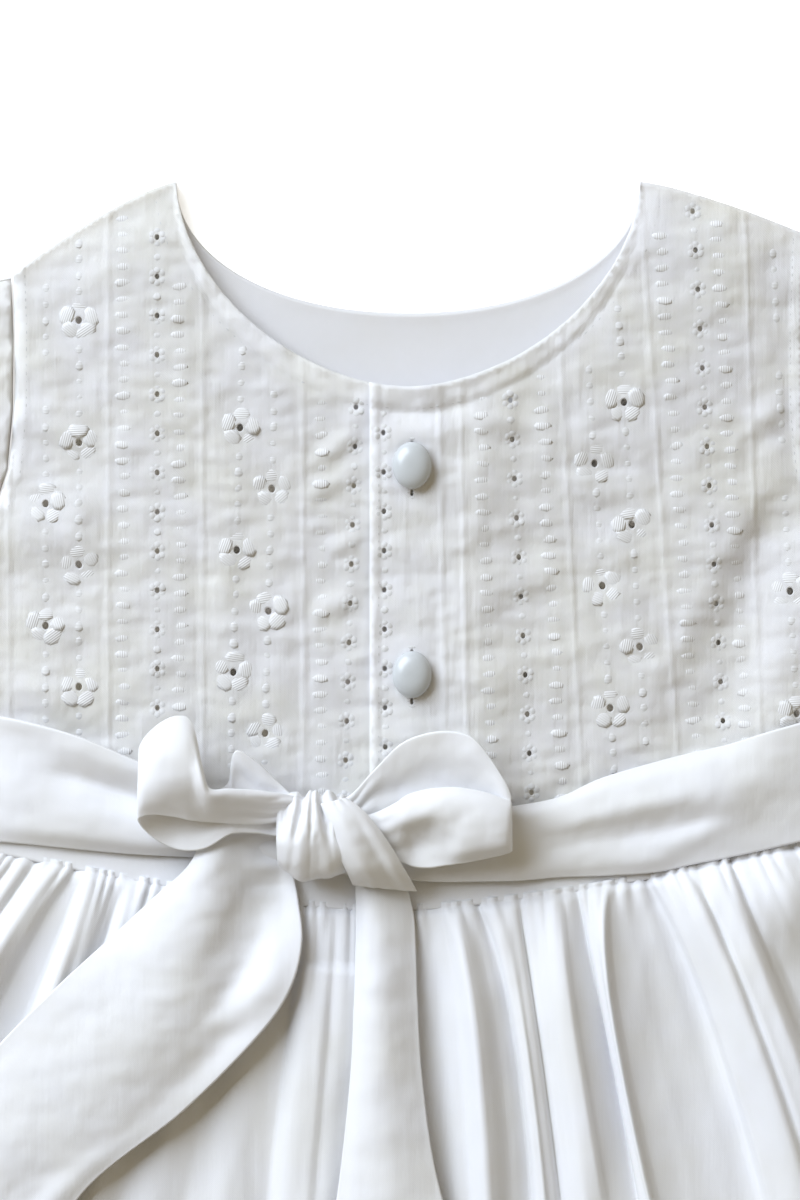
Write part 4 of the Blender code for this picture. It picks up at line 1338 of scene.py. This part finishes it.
TAIL_RIGHT = (
    (-13.8, 12, -1.0, 9, 6.4, 6.8, 7.2, 7.4, 7.0, 6.6, 6.4),
    (-13.6, 2, 1.4, 0, 7.4, 10.0, 10.8, 10.4, 9.4, 8.2, 7.0),
    (-13.6, -8, 2.0, -9, 8.8, 12.0, 12.9, 12.5, 11.3, 9.9, 8.6),
    (-14, -22, 2.4, -22, 10.4, 13.4, 14.6, 14.3, 13.0, 11.3, 9.8),
    (-15, -42, 3.6, -42, 11.6, 14.4, 15.6, 15.5, 14.4, 12.8, 11.2),
    (-17.5, -66, 7, -66, 12.2, 14.2, 15.4, 15.8, 15.0, 13.6, 12.2),
    (-21, -92, 14, -92, 12.8, 14.0, 15.0, 15.6, 15.4, 14.4, 13.0),
    (-23, -120, 19, -120, 13.0, 14.0, 14.6, 15.2, 15.2, 14.4, 13.4),
    (-23, -150, 22, -150, 13.2, 14.0, 14.4, 15.0, 15.0, 14.4, 13.6),
    (-22, -166, 23, -182, 13.4, 13.8, 14.2, 14.6, 14.6, 14.2, 13.6),
)
LOOP_LEFT = (              # round from the knot: lower and upper edge, then heights between them
    (-28.0, 22.0, -28.0, 29.0, 13.0, 13.2, 13.4, 13.6, 13.6, 13.6, 13.4),
    (-33.6, 20.0, -33.6, 34.0, 12.2, 12.4, 12.8, 13.2, 13.6, 14.0, 13.8),
    (-38.4, 20.6, -38.6, 39.0, 13.4, 13.4, 13.6, 14.0, 14.6, 15.4, 15.4),
    (-43.8, 20.8, -44.6, 42.2, 14.2, 14.2, 14.2, 14.4, 15.0, 16.2, 16.4),
    (-46.6, 20.2, -46.4, 34.0, 14.6, 14.4, 14.2, 14.2, 14.4, 14.6, 14.4),
    (-52, 17.0, -52, 32.0, 14.4, 14.2, 14.0, 14.0, 14.2, 14.2, 14.0),
    (-57, 16.2, -56.6, 42.0, 13.4, 13.2, 13.2, 13.6, 14.0, 14.2, 14.0),
    (-62, 17.2, -62, 47.6, 11.8, 12.4, 13.1, 13.6, 13.9, 14.0, 14.0),
    (-66.8, 20.2, -66.4, 46.4, 12.8, 14.0, 15.0, 15.6, 16.0, 16.0, 15.6),
    (-69.4, 23.6, -69.0, 43.0, 16.6, 18.4, 19.6, 20.0, 19.8, 19.4, 18.8),
    (-68.4, 25.4, -67.4, 46.2, 19.0, 21.8, 23.4, 23.8, 23.2, 22.0, 20.4),
    (-64.6, 25.8, -63.4, 49.8, 19.4, 23.4, 25.6, 26.2, 25.6, 24.2, 21.4),
    (-60.2, 25.2, -59.2, 51.4, 19.0, 23.0, 26.0, 27.0, 26.6, 24.6, 21.4),
    (-56.6, 24.4, -55.6, 49.6, 18.6, 21.8, 25.0, 26.8, 26.8, 24.8, 21.4),
    (-53.8, 24.0, -53.0, 38.8, 17.6, 19.6, 22.2, 25.0, 27.0, 27.6, 25.4),
    (-51, 23.8, -51, 33.0, 17.0, 18.4, 20.4, 22.8, 25.2, 26.8, 26.2),
    (-46, 23.4, -46, 32.8, 16.4, 17.4, 19.2, 21.4, 23.6, 25.2, 24.8),
    (-40, 23.2, -40, 32.4, 15.8, 16.6, 18.0, 20.0, 22.0, 23.4, 22.8),
    (-34.5, 23.6, -34.5, 31.6, 15.6, 16.2, 17.2, 18.6, 20.2, 21.4, 20.6),
    (-28.0, 24.4, -28.0, 30.4, 15.2, 15.6, 16.2, 17.0, 17.8, 18.2, 17.6),
)
LOOP_RIGHT = (
    (-20, 21, -20, 28, 12.7, 12.7, 12.7, 12.8, 13.0, 13.1, 13.1),
    (-14.6, 20.6, -14.6, 31, 12.5, 12.5, 12.6, 12.7, 13.0, 13.6, 13.7),
    (-9, 20, -9.1, 36.9, 12.4, 12.4, 12.6, 12.8, 13.4, 14.6, 15.0),
    (-2.1, 19, -2.1, 43.9, 12.2, 12.3, 12.5, 13.0, 14.0, 15.4, 16.0),
    (4.9, 18.5, 4.9, 46.8, 12.2, 12.4, 12.6, 13.1, 14.3, 16.0, 16.8),
    (11.7, 18, 11.7, 47.3, 12.5, 12.7, 13.0, 13.6, 14.9, 16.6, 17.4),
    (17.3, 17.6, 16.9, 45.5, 13.1, 13.3, 13.6, 14.2, 15.7, 17.7, 18.3),
    (21.8, 17.2, 21.3, 40.3, 14.0, 14.3, 14.6, 15.2, 16.5, 17.8, 18.1),
    (25, 16.6, 24.7, 34.8, 15.5, 15.8, 16.3, 16.9, 17.7, 18.1, 18.0),
    (26.5, 16.2, 26.3, 30.6, 17.0, 17.9, 18.5, 18.8, 18.8, 18.5, 18.0),
    (24.9, 15.6, 24.9, 29.9, 17.2, 20.0, 20.9, 21.0, 20.5, 19.7, 18.4),
    (20, 14.4, 20, 31.6, 16.8, 20.4, 21.6, 21.8, 21.5, 20.6, 18.7),
    (14, 13.2, 14, 32.8, 16.4, 19.8, 21.2, 21.7, 21.8, 21.0, 18.9),
    (9.4, 12.4, 9.4, 32.9, 15.2, 16.3, 17.8, 20.0, 21.8, 21.3, 18.7),
    (5.6, 11.8, 4.6, 32.4, 14.9, 14.6, 14.8, 16.8, 21.0, 21.0, 18.6),
    (1.8, 12, 0, 31, 14.8, 14.2, 14.2, 16.3, 20.1, 20.3, 18.0),
    (-2.4, 13.4, -3, 29, 14.9, 15.5, 16.5, 17.7, 18.9, 18.9, 17.2),
    (-8, 14.8, -8.6, 26.2, 15.1, 16.0, 16.9, 17.7, 18.0, 17.7, 16.5),
    (-13.4, 17, -13.6, 25, 15.2, 15.7, 16.3, 16.8, 16.9, 16.8, 16.0),
    (-20, 18.6, -20, 24.4, 14.6, 14.9, 15.2, 15.4, 15.4, 15.2, 14.8),
)
STRAND = (                 # from the top of the knot down over it and under onto the right tail
    (-22.5, 28.8, -16.2, 30.2, 19.6, 20.4, 21.0, 21.4, 21.2, 20.6, 19.6),
    (-20.6, 23.6, -10.8, 26.2, 21.0, 22.8, 23.8, 23.6, 23.0, 22.4, 20.6),
    (-18.2, 16.4, -4.8, 18.4, 20.6, 22.6, 23.6, 23.0, 21.6, 21.8, 19.8),
    (-15.8, 11.0, -0.6, 11.2, 17.6, 19.8, 21.0, 20.0, 18.4, 18.8, 16.8),
    (-14.4, 7.4, 2.4, 5.6, 10.6, 12.6, 13.8, 13.0, 12.0, 12.2, 10.8),
)


def loop_creases(step, share, x, y):
    """Fine pleats where the loop is drawn into the knot, and soft ones over the rest of it."""
    drawn = math.exp(-9.0 * min(step, 1.0 - step))
    pleats = 0.55 * math.sin(21.0 * share + 5.0 * uneven(x / 9.0, step * 5.0, 2.0))
    return soft_creases(step, share, x, y) + drawn * pleats * math.sin(math.pi * share) ** 0.5


def tail_hollow(step, share, x, y):
    """The left tail dips twice under its loop, with a small fold between the two hollows."""
    across = swell(x + 36.0, 5.5)
    dips = 0.8 * swell(y - 17.0, 2.6) + 0.9 * swell(y - 7.0, 2.0) - 1.2 * swell(y - 12.0, 1.8)
    return soft_creases(step, share, x, y) - across * dips


for name, sections, steps, columns, rumple in (
    ("bow_tail_left", TAIL_LEFT, 16, 56, tail_hollow),
    ("bow_tail_right", TAIL_RIGHT, 14, 34, soft_creases),
    ("bow_loop_left", LOOP_LEFT, 8, 40, loop_creases),
    ("bow_loop_right", LOOP_RIGHT, 8, 40, loop_creases),
    ("bow_strand", STRAND, 12, 30, loop_creases),
):
    rows = drape(sections, steps, columns, None, rumple)
    sew_band(name + "_cloth", rows, poplin, TIE_WALL, rounded=TIE_EDGE)
    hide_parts(name)

KNOT_X = (-34.0, -14.2)
KNOT_Y = (8.4, 32.6)
KNOT_Z = (10.6, 24.6)
KNOT_GATHERS = (           # place across the knot, depth, width, and lean of each dark groove
    (0.10, 0.9, 0.04, 0.03), (0.30, 2.1, 0.055, 0.10), (0.46, 0.8, 0.03, 0.02),
    (0.64, 2.0, 0.055, -0.10), (0.80, 1.2, 0.04, -0.02), (0.92, 0.8, 0.03, 0.0),
)
KNOT_SECTIONS = 72
KNOT_ROUND = 84


def knot_place(across, turn):
    """A drawn-up turn of cloth: across runs from left to right, turn round it over the top."""
    angle = 2 * math.pi * turn
    girth = 0.56 + 0.44 * math.sin(math.pi * across) ** 0.45
    top = max(0.0, math.sin(angle))
    from_top = math.cos(angle)
    shown = 0.12 + 0.88 * smooth((from_top + 0.25) / 0.5)
    for at, depth, width, lean in KNOT_GATHERS:
        girth -= 0.085 * depth * swell(across - at - lean * (from_top - 0.4), width) * shown
    spot = Vector((across * 3.4, 1.6 * from_top, 1.6 * math.sin(angle)))
    girth += 0.09 * noise.noise(spot) + 0.03 * shown * noise.noise(spot * 4.0)
    middle = 0.5 * (KNOT_Y[0] + KNOT_Y[1])
    y = middle + 0.5 * (KNOT_Y[1] - KNOT_Y[0]) * girth * from_top
    z = mix(KNOT_Z[0], KNOT_Z[1], top ** 0.75 * girth) - 2.2 * max(0.0, -math.sin(angle)) * girth
    return mix(*KNOT_X, across), y, z - 1.6 * smooth((-0.1 - from_top) / 0.7) * top


knot_points = []
for section in range(KNOT_SECTIONS):
    for step in range(KNOT_ROUND):
        knot_points.append(knot_place(section / (KNOT_SECTIONS - 1), step / KNOT_ROUND))
knot_faces = grid_faces(KNOT_SECTIONS, KNOT_ROUND, closed=True)
knot_faces.append(list(range(KNOT_ROUND)))
knot_faces.append([(KNOT_SECTIONS - 1) * KNOT_ROUND + step for step in range(KNOT_ROUND)])
knot = sew("bow_knot_cloth", knot_points, knot_faces, poplin, 0.0)
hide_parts("bow_knot")


# ---------------------------------------------------------------------------------------------
# Buttons: two domed shank buttons of pearly plastic that close the lap. Each is sewn to the front
# below by its shank, which comes up through the worked buttonhole.

BUTTON_RADII = (5.1, 6.1)
BUTTON_HEIGHT = 3.8
SHANK = 1.1
BUTTON_PROFILE = (         # out from the middle, and up, as shares of radius and height
    (0.0, -0.4), (0.22, -0.4), (0.22, 0.0), (0.42, 0.05), (0.80, 0.10), (0.95, 0.18), (1.0, 0.28),
    (0.995, 0.38), (0.96, 0.50), (0.89, 0.64), (0.79, 0.76), (0.66, 0.86), (0.50, 0.935),
    (0.32, 0.98), (0.15, 0.997), (0.0, 1.0),
)
BUTTON_SIDES = 48


def pearl_material():
    made, tree, shader = new_material("pearl_button")
    place = add_node(tree, "ShaderNodeTexCoord", {})["Object"]
    lustre = add_noise(tree, place, 170.0, 4.0, Distortion=1.2)
    tone = add_node(
        tree, "ShaderNodeMix",
        {"A": (0.49, 0.515, 0.53, 1.0), "B": (0.585, 0.605, 0.63, 1.0), "Factor": lustre},
        data_type="RGBA",
    )["Result"]
    gloss = add_node(tree, "ShaderNodeMapRange", {
        "Value": lustre, "To Min": 0.26, "To Max": 0.40,
    })["Result"]
    feed(tree, shader, {
        "Base Color": tone, "Roughness": gloss, "Coat Weight": 0.35, "Coat Roughness": 0.16,
        "Normal": add_bump(tree, lustre, 0.15, 0.1),
    })
    return made


pearl = pearl_material()
lap_place = front_place(1, RIGHT_COLUMNS)
for name, y in BUTTON_Y.items():
    low = lap_place(BUTTON_X, y)[2] + SHANK
    points = []
    faces = []
    rings = []
    for reach, rise in BUTTON_PROFILE:
        height = low + rise * BUTTON_HEIGHT
        if reach == 0.0:
            rings.append([len(points)])
            points.append((BUTTON_X, y, height))
            continue
        rings.append([])
        for step in range(BUTTON_SIDES):
            angle = 2 * math.pi * step / BUTTON_SIDES
            aside = reach * BUTTON_RADII[0] * math.cos(angle)
            rings[-1].append(len(points))
            points.append((BUTTON_X + aside, y + reach * BUTTON_RADII[1] * math.sin(angle), height))
    for ring, after in zip(rings, rings[1:]):
        for step in range(BUTTON_SIDES):
            beside = (step + 1) % BUTTON_SIDES
            if len(ring) == 1:
                faces.append((ring[0], after[beside], after[step]))
            elif len(after) == 1:
                faces.append((ring[step], ring[beside], after[0]))
            else:
                faces.append((ring[step], ring[beside], after[beside], after[step]))
    button = sew(name + "_dome", points, faces, pearl, 0.0, keep_side=True)
    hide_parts(name)


# ---------------------------------------------------------------------------------------------
# Table, window light and camera: a plain white table under the gown, cool light from a window
# beyond the wearer's right shoulder, and a camera straight above.

TABLE_REACH = 9.0          # metres out to its edges, which are out of sight even from low down
TABLE_GLOW = 0.45

table_shape = bmesh.new()
bmesh.ops.create_grid(table_shape, x_segments=1, y_segments=1, size=TABLE_REACH)
table_mesh = bpy.data.meshes.new("table")
table_shape.to_mesh(table_mesh)
table_shape.free()
table = new_object("table", table_mesh)
table_white, table_tree, table_shader = new_material("table_white")
feed(table_tree, table_shader, {
    "Base Color": (0.93, 0.93, 0.93, 1.0), "Roughness": 0.9,
    "Emission Color": (1.0, 1.0, 1.0, 1.0), "Emission Strength": TABLE_GLOW,
})
table_mesh.materials.append(table_white)

world = bpy.data.worlds.new("studio")
bpy.context.scene.world = world
world.use_nodes = True
feed(world.node_tree, world.node_tree.nodes["Background"], {
    "Color": (1.0, 0.85, 0.56, 1.0), "Strength": 0.31,
})
bpy.context.scene.view_settings.view_transform = "Standard"

WINDOW_PLACE = (-2.28, 2.40, 2.42)
WINDOW_AIM = (0.0, 0.24, 0.0)

window_light = bpy.data.lights.new("window", "AREA")
window_light.shape = "SQUARE"
window_light.size = 3.2
window_light.energy = 268.0
window_light.color = (0.79, 0.88, 1.0)
window = new_object("window", window_light)
window.location = WINDOW_PLACE
window_way = Vector(WINDOW_AIM) - Vector(WINDOW_PLACE)
window.rotation_euler = window_way.to_track_quat("-Z", "Y").to_euler()

VIEW_MIDDLE = (-0.0021, 0.2461)
VIEW_HEIGHT = 0.312
CAMERA_HEIGHT = 1.35
GOWN_MIDDLE_Z = 0.006

camera_data = bpy.data.cameras.new("camera")
camera_data.sensor_fit = "VERTICAL"
camera_data.sensor_height = 24.0
camera_data.lens = camera_data.sensor_height * (CAMERA_HEIGHT - GOWN_MIDDLE_Z) / VIEW_HEIGHT
camera = new_object("camera", camera_data)
camera.location = (*VIEW_MIDDLE, CAMERA_HEIGHT)
bpy.context.scene.camera = camera
